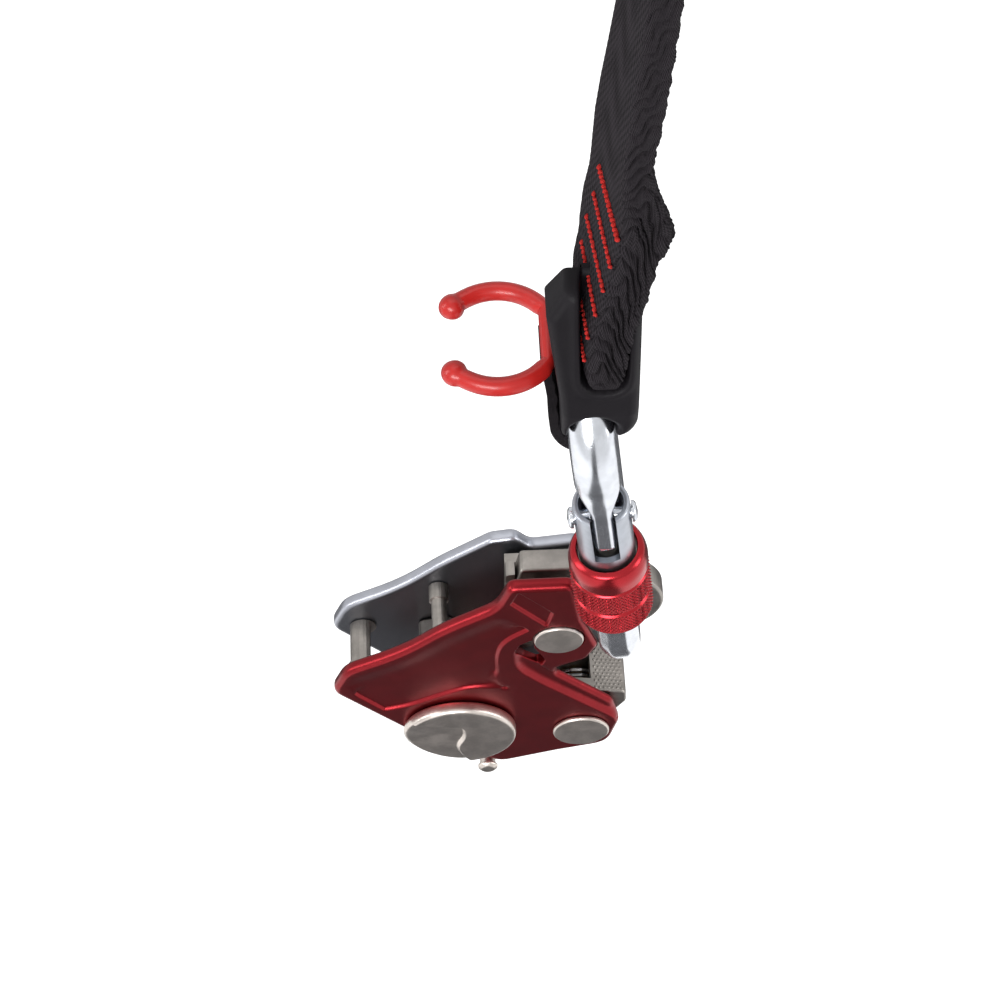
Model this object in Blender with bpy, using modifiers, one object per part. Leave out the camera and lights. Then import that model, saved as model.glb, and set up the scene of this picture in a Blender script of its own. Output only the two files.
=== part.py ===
"""Rope-grab ascender with its carabiner and the end of its lanyard.

Frame: origin on the axis of the rope channel, at the height of the main axle.
+Z up along the rope, +X towards the arm's eye, -Y towards the front plate.
Dimensions are in millimetres until put() turns them into metres.
"""
import math

import bmesh
import bpy
from mathutils import Vector

for old in list(bpy.data.objects):
    bpy.data.objects.remove(old, do_unlink=True)

MM = 0.001
GAP = 0.3                   # clearance between neighbours that don't touch
FIT = 0.12                  # radial running clearance of pins in their bores

# ---- plates
PLATE_T = 3.5
INNER = 7.5                 # half the gap between the two plates
OUTER = INNER + PLATE_T
ROPE_R = 5.5                # the rope the channel is made for

# ---- main axle and arm
AXLE = (18.3, 0.0)
AXLE_R = 4.0
AXLE_END_R = 6.0            # flat end that runs in the front plate's groove
GROOVE_D = 1.5              # depth of that groove in the plate's back face
POCKET_D = 1.0              # depth of the front pocket round the axle cap
CAP_R = 6.0
CAP_PROUD = 0.7
ARM_T = 6.0
ARM_TOP = 19.3
EYE = (31.0, 2.4)
EYE_R = 13.0
EYE_HOLE_R = 7.3
CAM_FACE_X = ROPE_R + 0.4
CAM_HALF_T = 5.8
CAM_WEB = 2.2               # cam material in front of the arm's edge
CAM_PINS = ((10.9, 10.2), (10.9, -9.6))
CAM_PIN_R = 1.3

# ---- lower pivot, catch and knob
PIVOT = (25.0, -48.1)
PIVOT_R = 3.6
PIVOT_HEAD_R = 7.2
HEAD_T = 1.0
BUSH_R = 5.0
KNOB = (-6.1, -43.6)
KNOB_R = 14.3
KNOB_T = 3.4
SPINDLE_R = 4.0
GUIDE = (-10.1, -4.2)
POST = (-29.4, -22.4)
STOP = (1.0, -67.4)

# ---- carabiner: its plane holds the Y axis and leans towards -X
BAR_R = 5.0
CARA_Y = 18.5               # half the distance from spine to gate
CARA_BEND = 13.0            # radius of the two lower bends
NOSE_Z = 26.0               # heights above the bar in the arm's eye
CROWN_Z = 82.0              # centre of the round top
HINGE_Z = 65.6
GATE_R = 6.15
GATE_TOP = 70.5
SLOT_HALF = 2.9
TONGUE_HALF = SLOT_HALF - GAP
TONGUE_R = 5.3
GATE_PIN_R = 1.6
SLEEVE_R = 8.9
SLEEVE_Z = (27.2, 52.6)
INSERT_R = 7.0
BAR_AT = (32.4, 3.8)
LEAN = math.radians(6.2)       # towards -X
YAW = math.radians(1.2)        # spine towards -X

# ---- lanyard: X and Z here are counted from the middle of the carabiner's crown
BAND_T = 2.8                # one layer of the elastic tube webbing
EYE_IN = 7.4                # inside radius of its lower sewn eye
WEB_Y = (-12.5, 13.0)
TOP_EYE_Z = 142.3
TOP_EYE_R = 6.2
KEEPER_X = (-8.25, 10.35)
KEEPER_Y = (-18.6, -3.6)
KEEPER_Z = (-14.2, 31.8)
POCKET_X = (-1.45, 7.65)    # pocket in the keeper that holds the webbing's front
POCKET_Z = 8.5
POCKET_FILLET = 4.0
CLIP_C = (-17.35, 1.0, 3.3)
CLIP_R = 12.0
CLIP_ROD = (2.2, 1.9)       # half height and half width of its rod
CLIP_FLAT_W = 1.4           # half width of the flat stretch against the keeper
CLIP_FLAT = 10.0            # from the clip's centre to that stretch
BALL_R = 2.7

parts = bpy.data.collections.new("ascender")
cutters = bpy.data.collections.new("cutters")
bpy.context.scene.collection.children.link(parts)
bpy.context.scene.collection.children.link(cutters)


def material(name, rgb, rough, metal):
    mat = bpy.data.materials.new(name)
    mat.use_nodes = True
    bsdf = mat.node_tree.nodes["Principled BSDF"]
    bsdf.inputs["Base Color"].default_value = (*rgb, 1.0)
    bsdf.inputs["Roughness"].default_value = rough
    bsdf.inputs["Metallic"].default_value = metal
    return mat


RED = material("red_anodised", (0.33, 0.02, 0.025), 0.38, 0.8)
GREY = material("grey_anodised", (0.33, 0.34, 0.37), 0.4, 0.8)
STEEL = material("stainless", (0.36, 0.34, 0.31), 0.42, 1.0)
ZINC = material("bright_zinc", (0.72, 0.75, 0.78), 0.22, 1.0)
SPRING = material("spring_steel", (0.55, 0.55, 0.55), 0.3, 1.0)
BRONZE = material("bronze", (0.45, 0.29, 0.14), 0.4, 1.0)
RUBBER = material("black_rubber", (0.02, 0.02, 0.022), 0.6, 0.0)
CLIPRED = material("red_plastic", (0.6, 0.03, 0.03), 0.45, 0.0)
WEB = material("black_webbing", (0.02, 0.02, 0.022), 0.9, 0.0)


def put(name, verts, faces, mat=None, origin=(0, 0, 0), smooth=False):
    """A mesh object from millimetre points; its origin goes on a joint axis."""
    mesh = bpy.data.meshes.new(name)
    mesh.from_pydata([[(c - o) * MM for c, o in zip(v, origin)] for v in verts], [], faces)
    bm = bmesh.new()
    bm.from_mesh(mesh)
    bmesh.ops.recalc_face_normals(bm, faces=bm.faces)
    bm.to_mesh(mesh)
    bm.free()
    obj = bpy.data.objects.new(name, mesh)
    obj.location = [o * MM for o in origin]
    (parts if mat else cutters).objects.link(obj)
    if mat:
        mesh.materials.append(mat)
    else:
        obj.hide_render = True
        obj.display_type = 'WIRE'
    if smooth:
        mesh.shade_smooth()
    return obj


def prism(name, outline, y0, y1, mat=None, at=(0, 0), bevel=0.0):
    """An XZ outline given a thickness along Y, with its rims chamfered."""
    n = len(outline)
    verts = [(x, y0, z) for x, z in outline] + [(x, y1, z) for x, z in outline]
    faces = [list(range(n)), list(range(2 * n - 1, n - 1, -1))]
    faces += [[i, (i + 1) % n, (i + 1) % n + n, i + n] for i in range(n)]
    obj = put(name, verts, faces, mat, (at[0], 0, at[1]))
    if bevel:
        mod = obj.modifiers.new("rim", 'BEVEL')
        mod.width = bevel * MM
        mod.segments = 2
        mod.limit_method = 'ANGLE'
        mod.angle_limit = math.radians(50)
    return obj


def ring(name, steps, at, mat=None, seg=32):
    """A solid turned about a line along Y: steps are (radius, y), outer then inner."""
    verts = []
    faces = []
    for r, y in steps:
        for k in range(seg):
            a = 2 * math.pi * k / seg
            verts.append((at[0] + r * math.cos(a), y, at[1] + r * math.sin(a)))
    m = len(steps)
    for s in range(m):
        t = (s + 1) % m
        for k in range(seg):
            j = (k + 1) % seg
            faces.append([s * seg + k, s * seg + j, t * seg + j, t * seg + k])
    return put(name, verts, faces, mat, (at[0], 0, at[1]))


def pin(name, steps, at, mat=None, seg=32, origin=None):
    """A solid pin along Y: steps are (radius, y) from one end to the other."""
    verts = []
    for r, y in steps:
        for k in range(seg):
            a = 2 * math.pi * k / seg
            verts.append((at[0] + r * math.cos(a), y, at[1] + r * math.sin(a)))
    m = len(steps)
    faces = [list(range(seg)), list(range(m * seg - 1, (m - 1) * seg - 1, -1))]
    for s in range(m - 1):
        for k in range(seg):
            j = (k + 1) % seg
            faces.append([s * seg + k, s * seg + j, (s + 1) * seg + j, (s + 1) * seg + k])
    o = origin or at
    return put(name, verts, faces, mat, (o[0], 0, o[1]))


def fillet(points, seg=5):
    """Round each (x, z, radius) corner of a closed outline."""
    out = []
    n = len(points)
    for i, (x, z, r) in enumerate(points):
        p = Vector((x, z))
        a = Vector(points[i - 1][:2]) - p
        b = Vector(points[(i + 1) % n][:2]) - p
        half = a.angle(b) / 2
        reach = min(r / math.tan(half), a.length * 0.48, b.length * 0.48)
        r = reach * math.tan(half)
        a.normalize()
        b.normalize()
        centre = p + (a + b).normalized() * (r / math.sin(half))
        start = p + a * reach - centre
        sweep = start.angle_signed(p + b * reach - centre)
        for k in range(seg + 1):
            t = -sweep * k / seg
            out.append((centre.x + start.x * math.cos(t) - start.y * math.sin(t),
                        centre.y + start.x * math.sin(t) + start.y * math.cos(t)))
    return out


def circle(cx, cz, r, seg=32, a0=0.0, a1=360.0):
    full = abs(a1 - a0) >= 360
    count = seg if full else seg + 1
    return [(cx + r * math.cos(math.radians(a0 + (a1 - a0) * k / seg)),
             cz + r * math.sin(math.radians(a0 + (a1 - a0) * k / seg))) for k in range(count)]


def box(name, lo, hi, mat=None, origin=(0, 0, 0)):
    verts = [(x, y, z) for x in (lo[0], hi[0]) for y in (lo[1], hi[1]) for z in (lo[2], hi[2])]
    faces = [[0, 1, 3, 2], [4, 6, 7, 5], [0, 4, 5, 1], [2, 3, 7, 6], [0, 2, 6, 4], [1, 5, 7, 3]]
    return put(name, verts, faces, mat, origin)


def cut(obj, *tools):
    for tool in tools:
        mod = obj.modifiers.new("cut " + tool.name, 'BOOLEAN')
        mod.operation = 'DIFFERENCE'
        mod.solver = 'EXACT'
        mod.object = tool
    return obj


def sweep(name, path, section, seg, mat=None, origin=(0, 0, 0), closed=False):
    """A rod along a path that lies in one plane.

    path holds (point, side): side is the unit vector square to the plane.
    section(i) gives the two half widths there: along side, and across it.
    """
    verts = []
    n = len(path)
    for i, (p, side) in enumerate(path):
        before = path[i - 1][0] if i or closed else p
        after = path[(i + 1) % n][0] if i < n - 1 or closed else p
        across = (after - before).normalized().cross(side).normalized()
        w, h = section(i)
        for k in range(seg):
            a = 2 * math.pi * k / seg
            verts.append(p + side * (w * math.cos(a)) + across * (h * math.sin(a)))
    faces = []
    for i in range(n if closed else n - 1):
        j = (i + 1) % n
        for k in range(seg):
            m = (k + 1) % seg
            faces.append([i * seg + k, i * seg + m, j * seg + m, j * seg + k])
    if not closed:
        faces += [list(range(seg)), list(range(n * seg - 1, (n - 1) * seg - 1, -1))]
    return put(name, verts, faces, mat, origin, smooth=True)


# ================================================================ plates
HOOK = [(28.0, -4.6, 3.0), (25.4, -11.0, 3.0), (17.6, -15.4, 2.2)]
FRONT = fillet([
    (-37.4, -23.4, 5.0), (-33.8, -13.6, 5.0), (-20.0, -5.4, 9.0), (-9.6, 5.4, 9.0),
    (3.2, 15.0, 3.5), (6.2, 24.5, 2.6), (21.4, 24.7, 2.4), (23.9, 8.6, 5.0), *HOOK,
    (18.6, -20.2, 2.0), (32.8, -36.2, 5.0), (34.8, -45.5, 6.0), (32.4, -57.2, 6.5),
    (19.0, -61.2, 8.0), (4.0, -66.6, 6.0), (-17.0, -49.0, 9.0)])
REAR = fillet([
    (-37.4, -23.4, 5.0), (-33.8, -13.6, 5.0), (-20.0, -5.4, 9.0), (-9.6, 5.4, 9.0),
    (2.6, 15.6, 4.0), (8.6, 16.6, 3.0), (12.4, 12.0, 3.0), (24.4, 13.8, 3.0),
    (26.0, 5.0, 4.0), (28.0, -4.6, 4.0), (29.6, -26.0, 6.0), (34.2, -42.0, 6.0),
    (32.4, -57.2, 6.5), (19.0, -61.2, 8.0), (4.0, -66.6, 6.0), (-17.0, -49.0, 9.0)])

rear = prism("rear_plate", REAR, INNER, OUTER, GREY, bevel=0.8)
front = prism("front_plate", FRONT, -OUTER, -INNER, RED, at=PIVOT, bevel=0.8)

# the keyhole-shaped pocket round the axle cap, open right through at its left end
pocket_y = -OUTER + POCKET_D
KEYHOLE = fillet([(6.9, -7.4, 2.4), (14.5, 7.2, 3.0), (24.9, 6.9, 6.0), (24.9, -7.1, 6.0),
                  (17.0, -8.4, 2.0), (13.4, -13.8, 1.0)])
cut(front,
    prism("cut_pocket", KEYHOLE, -OUTER - 2, pocket_y),
    prism("cut_window", [(8.2, -6.9), (9.2, -4.2), (11.6, -0.6), (11.8, -8.0), (14.2, -10.0),
                         (13.0, -12.2), (9.6, -9.2)], -OUTER - 2, -INNER + 1),
    # the groove in the back face: the axle's end leaves it to the right as the plate swings
    prism("cut_groove", [(50, 7.6), *circle(AXLE[0], 0, 6.35, 16, 90, 270), (50, -9.4)],
          -INNER - GROOVE_D, -INNER + 1),
    pin("cut_cap_hole", [(1.8, -OUTER - 2), (1.8, -INNER + 1)], AXLE, seg=20),
    pin("cut_front_pivot", [(PIVOT_R + FIT, -OUTER - 2), (PIVOT_R + FIT, 0)], PIVOT),
    pin("cut_front_knob", [(SPINDLE_R + FIT, -OUTER - 2), (SPINDLE_R + FIT, 0)], KNOB))
cut(rear,
    pin("cut_rear_axle", [(AXLE_R + FIT, 0), (AXLE_R + FIT, OUTER + 2)], AXLE),
    pin("cut_rear_pivot", [(PIVOT_R + FIT, 0), (PIVOT_R + FIT, OUTER + 2)], PIVOT),
    pin("cut_rear_guide", [(1.6 + FIT, 0), (1.6 + FIT, OUTER + 2)], GUIDE, seg=20),
    pin("cut_rear_post", [(1.6 + FIT, 0), (1.6 + FIT, OUTER + 2)], POST, seg=20))

# ================================================================ fixed pieces
web_front = -INNER - GROOVE_D
pin("main_axle", [(AXLE_END_R, web_front + GAP), (AXLE_END_R, -INNER + 0.4),
                  (AXLE_R, -INNER + 0.4), (AXLE_R, OUTER + GAP), (6.4, OUTER + GAP),
                  (6.4, OUTER + GAP + 1.0), (5.8, OUTER + GAP + 1.4)], AXLE, STEEL, seg=40)
for side, name in ((-1, "front_spacer"), (1, "rear_spacer")):
    near, far = side * (ARM_T / 2 + GAP), side * (INNER - 0.8 if side < 0 else INNER - GAP)
    ring(name, [(6.2, near), (6.2, far), (AXLE_R + FIT, far), (AXLE_R + FIT, near)],
         AXLE, STEEL, seg=36)

# the pin's shank is stepped: a thick half on the rear plate, a thin half towards the front
pin("guide_pin", [(1.6, OUTER - 0.4), (1.6, INNER - GAP), (2.4, INNER - GAP), (2.4, 3.2),
                  (1.9, 2.9), (1.9, -INNER + 0.9), (1.6, -INNER + 0.5)], GUIDE, STEEL, seg=24)
post = pin("stop_post", [(1.6, OUTER - 0.4), (1.6, INNER - GAP), (3.3, INNER - GAP),
                         (3.3, -3.6), (3.9, -3.9), (3.9, -INNER + 1.0), (3.5, -INNER + 0.5)],
           POST, STEEL, seg=24)
cut(post, box("cut_post_flat", (POST[0] + 1.7, -3.3, POST[1] - 6), (POST[0] + 8, INNER - 0.7,
                                                                    POST[1] + 6)))
pin("pivot_rivet", [(PIVOT_HEAD_R - 0.5, -OUTER - GAP - HEAD_T), (PIVOT_HEAD_R, -OUTER - 0.9),
                    (PIVOT_HEAD_R, -OUTER - GAP), (PIVOT_R, -OUTER - GAP),
                    (PIVOT_R, OUTER + GAP), (6.6, OUTER + GAP), (6.6, OUTER + 0.9),
                    (6.0, OUTER + GAP + HEAD_T)], PIVOT, STEEL, seg=40)
ring("pivot_bush", [(BUSH_R, -INNER + GAP), (BUSH_R, INNER - GAP), (PIVOT_R + FIT, INNER - GAP),
                    (PIVOT_R + FIT, -INNER + GAP)], PIVOT, BRONZE)

# the block that the rope is pressed against
anvil = prism("anvil", fillet([(-15.0, -46.0, 2), (-15.5, -20.5, 2), (-7.4, -18.2, 2),
                               (-ROPE_R - GAP, -23.5, 3), (-ROPE_R - GAP, -39.0, 3),
                               (-7.6, -46.0, 2)]), -5.3, INNER - GAP, STEEL, bevel=0.4)
cut(anvil, pin("cut_anvil_pin", [(2.0 + FIT, -20), (2.0 + FIT, 20)], (-11.2, -30.0), seg=20))
cut(rear, pin("cut_rear_anvil", [(2.0 + FIT, 0), (2.0 + FIT, OUTER + 2)], (-11.2, -30.0), seg=20),
    pin("cut_rear_lower", [(1.6 + FIT, 0), (1.6 + FIT, OUTER + 2)], (10.6, -55.0), seg=20))
pin("anvil_pin", [(2.0, -5.0), (2.0, OUTER + GAP), (3.4, OUTER + GAP), (3.0, OUTER + 1.0)],
    (-11.2, -30.0), STEEL, seg=24)
pin("lower_guide", [(1.6, OUTER - 0.4), (1.6, INNER - GAP), (3.0, INNER - GAP),
                    (3.0, -INNER + 0.9), (2.6, -INNER + 0.5)], (10.6, -55.0), STEEL, seg=24)

# ================================================================ pieces on the front plate
pin("axle_cap", [(CAP_R - 0.4, -OUTER - CAP_PROUD), (CAP_R, -OUTER - CAP_PROUD + 0.4),
                 (CAP_R, pocket_y - 0.12), (1.68, pocket_y - 0.12),
                 (1.68, web_front - 0.15)], AXLE, STEEL, seg=40, origin=PIVOT)
stop = pin("stop_pin", [(0.9, -OUTER - 1.5), (1.8, -OUTER - 0.9), (2.1, -OUTER),
                        (2.1, -INNER - 1.2), (1.2, -INNER - 0.8)], STOP, STEEL, seg=24,
           origin=PIVOT)
cut(front, pin("cut_stop", [(2.1 + FIT, -OUTER - 3), (2.1 + FIT, 0)], STOP, seg=24))

# ---- knob, turning on its spindle
knob_y = -OUTER - GAP
knob = pin("knob", [(KNOB_R - 1.4, knob_y - KNOB_T), (KNOB_R, knob_y - KNOB_T + 1.3),
                    (KNOB_R, knob_y - 0.6), (KNOB_R - 0.6, knob_y)], KNOB, STEEL, seg=64)
kx, kz = KNOB
cut(knob, prism("cut_thumb", fillet([(kx - 18, kz + 7.6, 0.5), (kx - 3.6, kz + 6.6, 3.5),
                                     (kx + 1.6, kz + 0.4, 3.0), (kx - 1.2, kz - 6.5, 3.5),
                                     (kx + 1.6, kz - 18, 1.0), (kx - 18, kz - 18, 1.0)]),
                knob_y - KNOB_T - 1, knob_y - KNOB_T + 1.5),
    pin("cut_knob_bore", [(2.6, knob_y - 1.4), (2.6, 0)], KNOB, seg=24))
pin("knob_spindle", [(2.5, knob_y - 1.2), (2.5, -OUTER + 0.2), (SPINDLE_R, -OUTER + 0.2),
                     (SPINDLE_R, -INNER - 0.2), (2.5, -INNER - 0.2), (2.5, -INNER + 1.8)],
    KNOB, STEEL, seg=28)
selector = prism("selector_cam", fillet([(kx - 5.2, kz - 4.6, 3.5), (kx - 4.6, kz + 4.6, 3.5),
                                         (kx + 5.6, kz + 3.6, 3.0), (kx + 5.6, kz - 3.6, 3.0)]),
                 -INNER + GAP, -INNER + 1.5, BRONZE, at=KNOB)
cut(selector, pin("cut_selector", [(2.5 + FIT, -30), (2.5 + FIT, 20)], KNOB, seg=28))

# ================================================================ arm and cam
arm_outline = ([(9.4, ARM_TOP), (25.0, ARM_TOP), (28.6, ARM_TOP - 1.6)]
               + circle(*EYE, EYE_R, 24, 78, -96) + [(24.0, -12.6), (12.0, -13.0), (8.4, -9.0),
                                                     (8.4, 14.0)])
arm = prism("arm", arm_outline, -ARM_T / 2, ARM_T / 2, STEEL, at=AXLE, bevel=0.5)
cut(arm, prism("cut_eye", circle(*EYE, EYE_HOLE_R, 40), -8, 8),
    pin("cut_arm_bore", [(5.0 + FIT, -8), (5.0 + FIT, 8)], AXLE))
ring("axle_bush", [(5.0, -ARM_T / 2), (5.0, ARM_T / 2), (AXLE_R + FIT, ARM_T / 2),
                   (AXLE_R + FIT, -ARM_T / 2)], AXLE, BRONZE)
cam = prism("cam", fillet([(CAM_FACE_X, 16.2, 1.0), (9.0, 16.6, 0.8), (12.8, 12.0, 1.0),
                           (12.8, 8.2, 1.0), (9.2, 5.0, 1.0), (9.2, -5.0, 1.0),
                           (12.8, -7.6, 1.0), (12.8, -12.0, 2.0), (7.6, -14.6, 2.0),
                           (CAM_FACE_X, -10.0, 3.0)]), -CAM_HALF_T, CAM_HALF_T, STEEL, at=AXLE)
slot = prism("cut_cam_slot", [(CAM_FACE_X + CAM_WEB, -30), (CAM_FACE_X + CAM_WEB, 30), (40, 30),
                              (40, -30)], -ARM_T / 2 - GAP, ARM_T / 2 + GAP)
cut(cam, slot, box("cut_cam_front", (-5, -20, 12.9), (20, -2.2, 30)),
    box("cut_cam_rear", (-5, 1.8, 12.9), (20, 20, 30)))
for i, c in enumerate(CAM_PINS):
    tool = pin("cut_cam_pin%d" % (i + 1), [(CAM_PIN_R + FIT, -9), (CAM_PIN_R + FIT, 9)], c, seg=20)
    cut(cam, tool)
    cut(arm, tool)
    pin("cam_pin_%d" % (i + 1), [(CAM_PIN_R - 0.3, -CAM_HALF_T + 0.1), (CAM_PIN_R, -CAM_HALF_T
        + 0.4), (CAM_PIN_R, CAM_HALF_T - 0.4), (CAM_PIN_R - 0.3, CAM_HALF_T - 0.1)], c, STEEL,
        seg=20, origin=AXLE)

# ================================================================ catch and its spring
px, pz = PIVOT
catch = prism("catch", fillet([(19.2, -42.0, 3.0), (20.2, -33.0, 1.6), (36.4, -36.0, 1.6),
                               (36.6, -41.0, 2.2), (33.6, -46.6, 3.0), (32.6, -54.0, 5.0),
                               (20.6, -56.0, 6.0)]), -INNER + GAP, INNER - GAP, STEEL, at=PIVOT,
              bevel=0.5)
cut(catch, pin("cut_catch_bore", [(BUSH_R + FIT, -20), (BUSH_R + FIT, 20)], PIVOT),
    prism("cut_catch_window", [(10, -70), (10, -20), (27.6, -20), (27.6, -40.3), (34.0, -48),
                               (34.0, -70)], -3.8, 3.8))
# a torsion spring round the bush, one leg on the catch's window and one on the anvil side
coil = []
turns, r, wire = 4, 6.3, 0.55
for k in range(16 * turns + 1):
    a = math.radians(150) + 2 * math.pi * k / 16
    coil.append(Vector((px + r * math.cos(a), -3.0 + 6.0 * k / (16 * turns), pz + r * math.sin(a))))
coil = ([Vector((px - 3.2, -3.0, pz + 14.2)), Vector((px - 4.6, -3.0, pz + 8.0))] + coil
        + [Vector((px - 7.6, 3.0, pz - 1.0)), Vector((px - 11.0, 3.0, pz - 3.6))])
rings = []
for i, p in enumerate(coil):
    t = (coil[min(i + 1, len(coil) - 1)] - coil[max(i - 1, 0)]).normalized()
    side = t.cross(Vector((0, 1, 0))).normalized()
    across = side.cross(t).normalized()
    rings.append([p + side * (wire * math.cos(math.pi * k / 3)) + across *
                  (wire * math.sin(math.pi * k / 3)) for k in range(6)])
put("catch_spring", [v for row in rings for v in row],
    [[i * 6 + k, i * 6 + (k + 1) % 6, (i + 1) * 6 + (k + 1) % 6, (i + 1) * 6 + k]
     for i in range(len(rings) - 1) for k in range(6)]
    + [list(range(6)), list(range(len(rings) * 6 - 1, len(rings) * 6 - 7, -1))],
    SPRING, (px, 0, pz), smooth=True)

# ================================================================ carabiner
level = Vector((math.cos(YAW), math.sin(YAW), 0))
uy = Vector((-math.sin(YAW), math.cos(YAW), 0))
ux = level * math.cos(LEAN) + Vector((0, 0, 1)) * math.sin(LEAN)
uz = Vector((0, 0, 1)) * math.cos(LEAN) - level * math.sin(LEAN)
base = Vector((BAR_AT[0], 0, BAR_AT[1]))


def on(x, y, z):
    """A point of the carabiner: x square to its plane, y to the spine, z up its length."""
    return base + ux * x + uy * y + uz * z


loop = [(-CARA_Y, z) for z in (NOSE_Z, NOSE_Z - 3, CARA_BEND)]
k0 = CARA_Y - CARA_BEND
loop += [(-k0 - CARA_BEND * math.cos(t), CARA_BEND - CARA_BEND * math.sin(t))
         for t in [math.radians(10 * k) for k in range(1, 10)]]
loop += [(k0 + CARA_BEND * math.sin(t), CARA_BEND - CARA_BEND * math.cos(t))
         for t in [math.radians(10 * k) for k in range(0, 10)]]
loop += [(CARA_Y, z) for z in (32, 52)]
loop += [(CARA_Y * math.cos(t), CROWN_Z + CARA_Y * math.sin(t))
         for t in [math.radians(10 * k) for k in range(0, 19)]]
loop += [(-CARA_Y, z) for z in (HINGE_Z + 12, HINGE_Z + 8, HINGE_Z + 4.5, HINGE_Z - 4,
                                HINGE_Z - 10.4, HINGE_Z - 12.6)]
TONGUE = len(loop) - 4


def body_section(i):
    if i == 0:
        return BAR_R - 0.8, BAR_R - 0.8
    if i >= TONGUE:
        return TONGUE_HALF, (TONGUE_R, TONGUE_R, TONGUE_R, TONGUE_R - 2.2)[i - TONGUE]
    if i > TONGUE - 3:
        return (TONGUE_HALF + 1.0, BAR_R - 0.5)[TONGUE - 1 - i], BAR_R - 0.3
    return BAR_R, BAR_R


hinge = on(0, -CARA_Y, HINGE_Z)
carabiner = sweep("carabiner_body", [(on(0, y, z), ux) for y, z in loop], body_section, 20,
                  ZINC, tuple(base))


def turned(name, steps, mat, origin, closed, seg=32, y=-CARA_Y, axis='z', off=(0, 0)):
    """A solid turned about the gate's line (or square to the plane): (radius, height) steps."""
    verts = []
    for r, h in steps:
        for k in range(seg):
            a = 2 * math.pi * k / seg
            c, s = r * math.cos(a), r * math.sin(a)
            verts.append(on(c, y + s, h) if axis == 'z' else on(h, y + c, off[1] + s))
    m = len(steps)
    faces = [] if closed else [list(range(seg)), list(range(m * seg - 1, (m - 1) * seg - 1, -1))]
    for s in range(m if closed else m - 1):
        t = (s + 1) % m
        for k in range(seg):
            j = (k + 1) % seg
            faces.append([s * seg + k, s * seg + j, t * seg + j, t * seg + k])
    return put(name, verts, faces, mat, origin)


h_at = tuple(hinge)
cut(carabiner, turned("cut_tongue", [(GATE_PIN_R + FIT, -12), (GATE_PIN_R + FIT, 12)], None,
                      (0, 0, 0), False, 20, axis='x', off=(0, HINGE_Z)))
gate = turned("gate_tube", [(GATE_R - 0.5, NOSE_Z + 0.4), (GATE_R, NOSE_Z + 1.2),
                            (GATE_R, GATE_TOP - 0.6), (GATE_R - 0.5, GATE_TOP), (4.75, GATE_TOP),
                            (4.75, HINGE_Z - 15), (4.0, HINGE_Z - 15), (4.0, NOSE_Z + 3.4),
                            (1.6, NOSE_Z + 3.4), (1.6, NOSE_Z + 0.4)], ZINC, h_at, True, 36)
slot_box = put("cut_gate_slot", [on(x, -CARA_Y + y, z) for x in (-SLOT_HALF, SLOT_HALF)
                                 for y in (-20, 20) for z in (HINGE_Z - 13.6, HINGE_Z + 30)],
               [[0, 1, 3, 2], [4, 6, 7, 5], [0, 4, 5, 1], [2, 3, 7, 6], [0, 2, 6, 4],
                [1, 5, 7, 3]])
cut(gate, slot_box, turned("cut_gate_pin", [(GATE_PIN_R + FIT, -12), (GATE_PIN_R + FIT, 12)],
                           None, (0, 0, 0), False, 20, axis='x', off=(0, HINGE_Z)))
turned("gate_pin", [(1.5, -7.3), (2.3, -6.9), (2.3, -6.45), (GATE_PIN_R, -6.45),
                    (GATE_PIN_R, 6.45), (2.3, 6.45), (2.3, 6.9), (1.5, 7.3)], ZINC, h_at, False,
       20, axis='x', off=(0, HINGE_Z))
turned("gate_plunger", [(2.2, HINGE_Z - 13.8), (3.8, HINGE_Z - 15.2), (3.8, HINGE_Z - 20),
                        (1.6, HINGE_Z - 20), (1.6, HINGE_Z - 24)], STEEL, h_at, False, 24)
helix = []
for k in range(12 * 9 + 1):
    a = 2 * math.pi * k / 12
    helix.append((on(2.9 * math.cos(a), -CARA_Y + 2.9 * math.sin(a),
                     NOSE_Z + 4.2 + (HINGE_Z - NOSE_Z - 25.2) * k / 108)))
rings = []
for i, p in enumerate(helix):
    t = (helix[min(i + 1, 108)] - helix[max(i - 1, 0)]).normalized()
    side = t.cross(uz).normalized()
    across = side.cross(t).normalized()
    rings.append([p + side * (0.4 * math.cos(math.pi * k / 3)) + across *
                  (0.4 * math.sin(math.pi * k / 3)) for k in range(6)])
put("gate_spring", [v for row in rings for v in row],
    [[i * 6 + k, i * 6 + (k + 1) % 6, (i + 1) * 6 + (k + 1) % 6, (i + 1) * 6 + k]
     for i in range(108) for k in range(6)] + [list(range(6)), list(range(653, 647, -1))],
    SPRING, h_at, smooth=True)
lo, hi = SLEEVE_Z
turned("sleeve_insert", [(GATE_R + FIT, lo + 2.0), (INSERT_R - FIT, lo + 2.0),
                         (INSERT_R - FIT, hi - 2.4), (GATE_R + FIT, hi - 2.4)], STEEL,
       tuple(on(0, -CARA_Y, lo)), True, 36)
turned("lock_sleeve", [(INSERT_R, lo), (SLEEVE_R - 0.9, lo), (SLEEVE_R, lo + 0.9),
                       (SLEEVE_R, lo + 7.6), (SLEEVE_R - 0.8, lo + 8.3),
                       (SLEEVE_R - 0.8, lo + 9.2), (SLEEVE_R, lo + 9.9), (SLEEVE_R, lo + 16.8),
                       (SLEEVE_R - 0.7, lo + 17.5), (SLEEVE_R - 0.5, hi - 3.6),
                       (SLEEVE_R - 1.2, hi - 1.2), (INSERT_R + 0.5, hi), (INSERT_R, hi - 0.5)],
       RED, tuple(on(0, -CARA_Y, lo)), True, 48)

# ================================================================ keeper, clip and webbing
crown = on(0, 0, CROWN_Z + CARA_Y)
cz = crown.z
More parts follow.
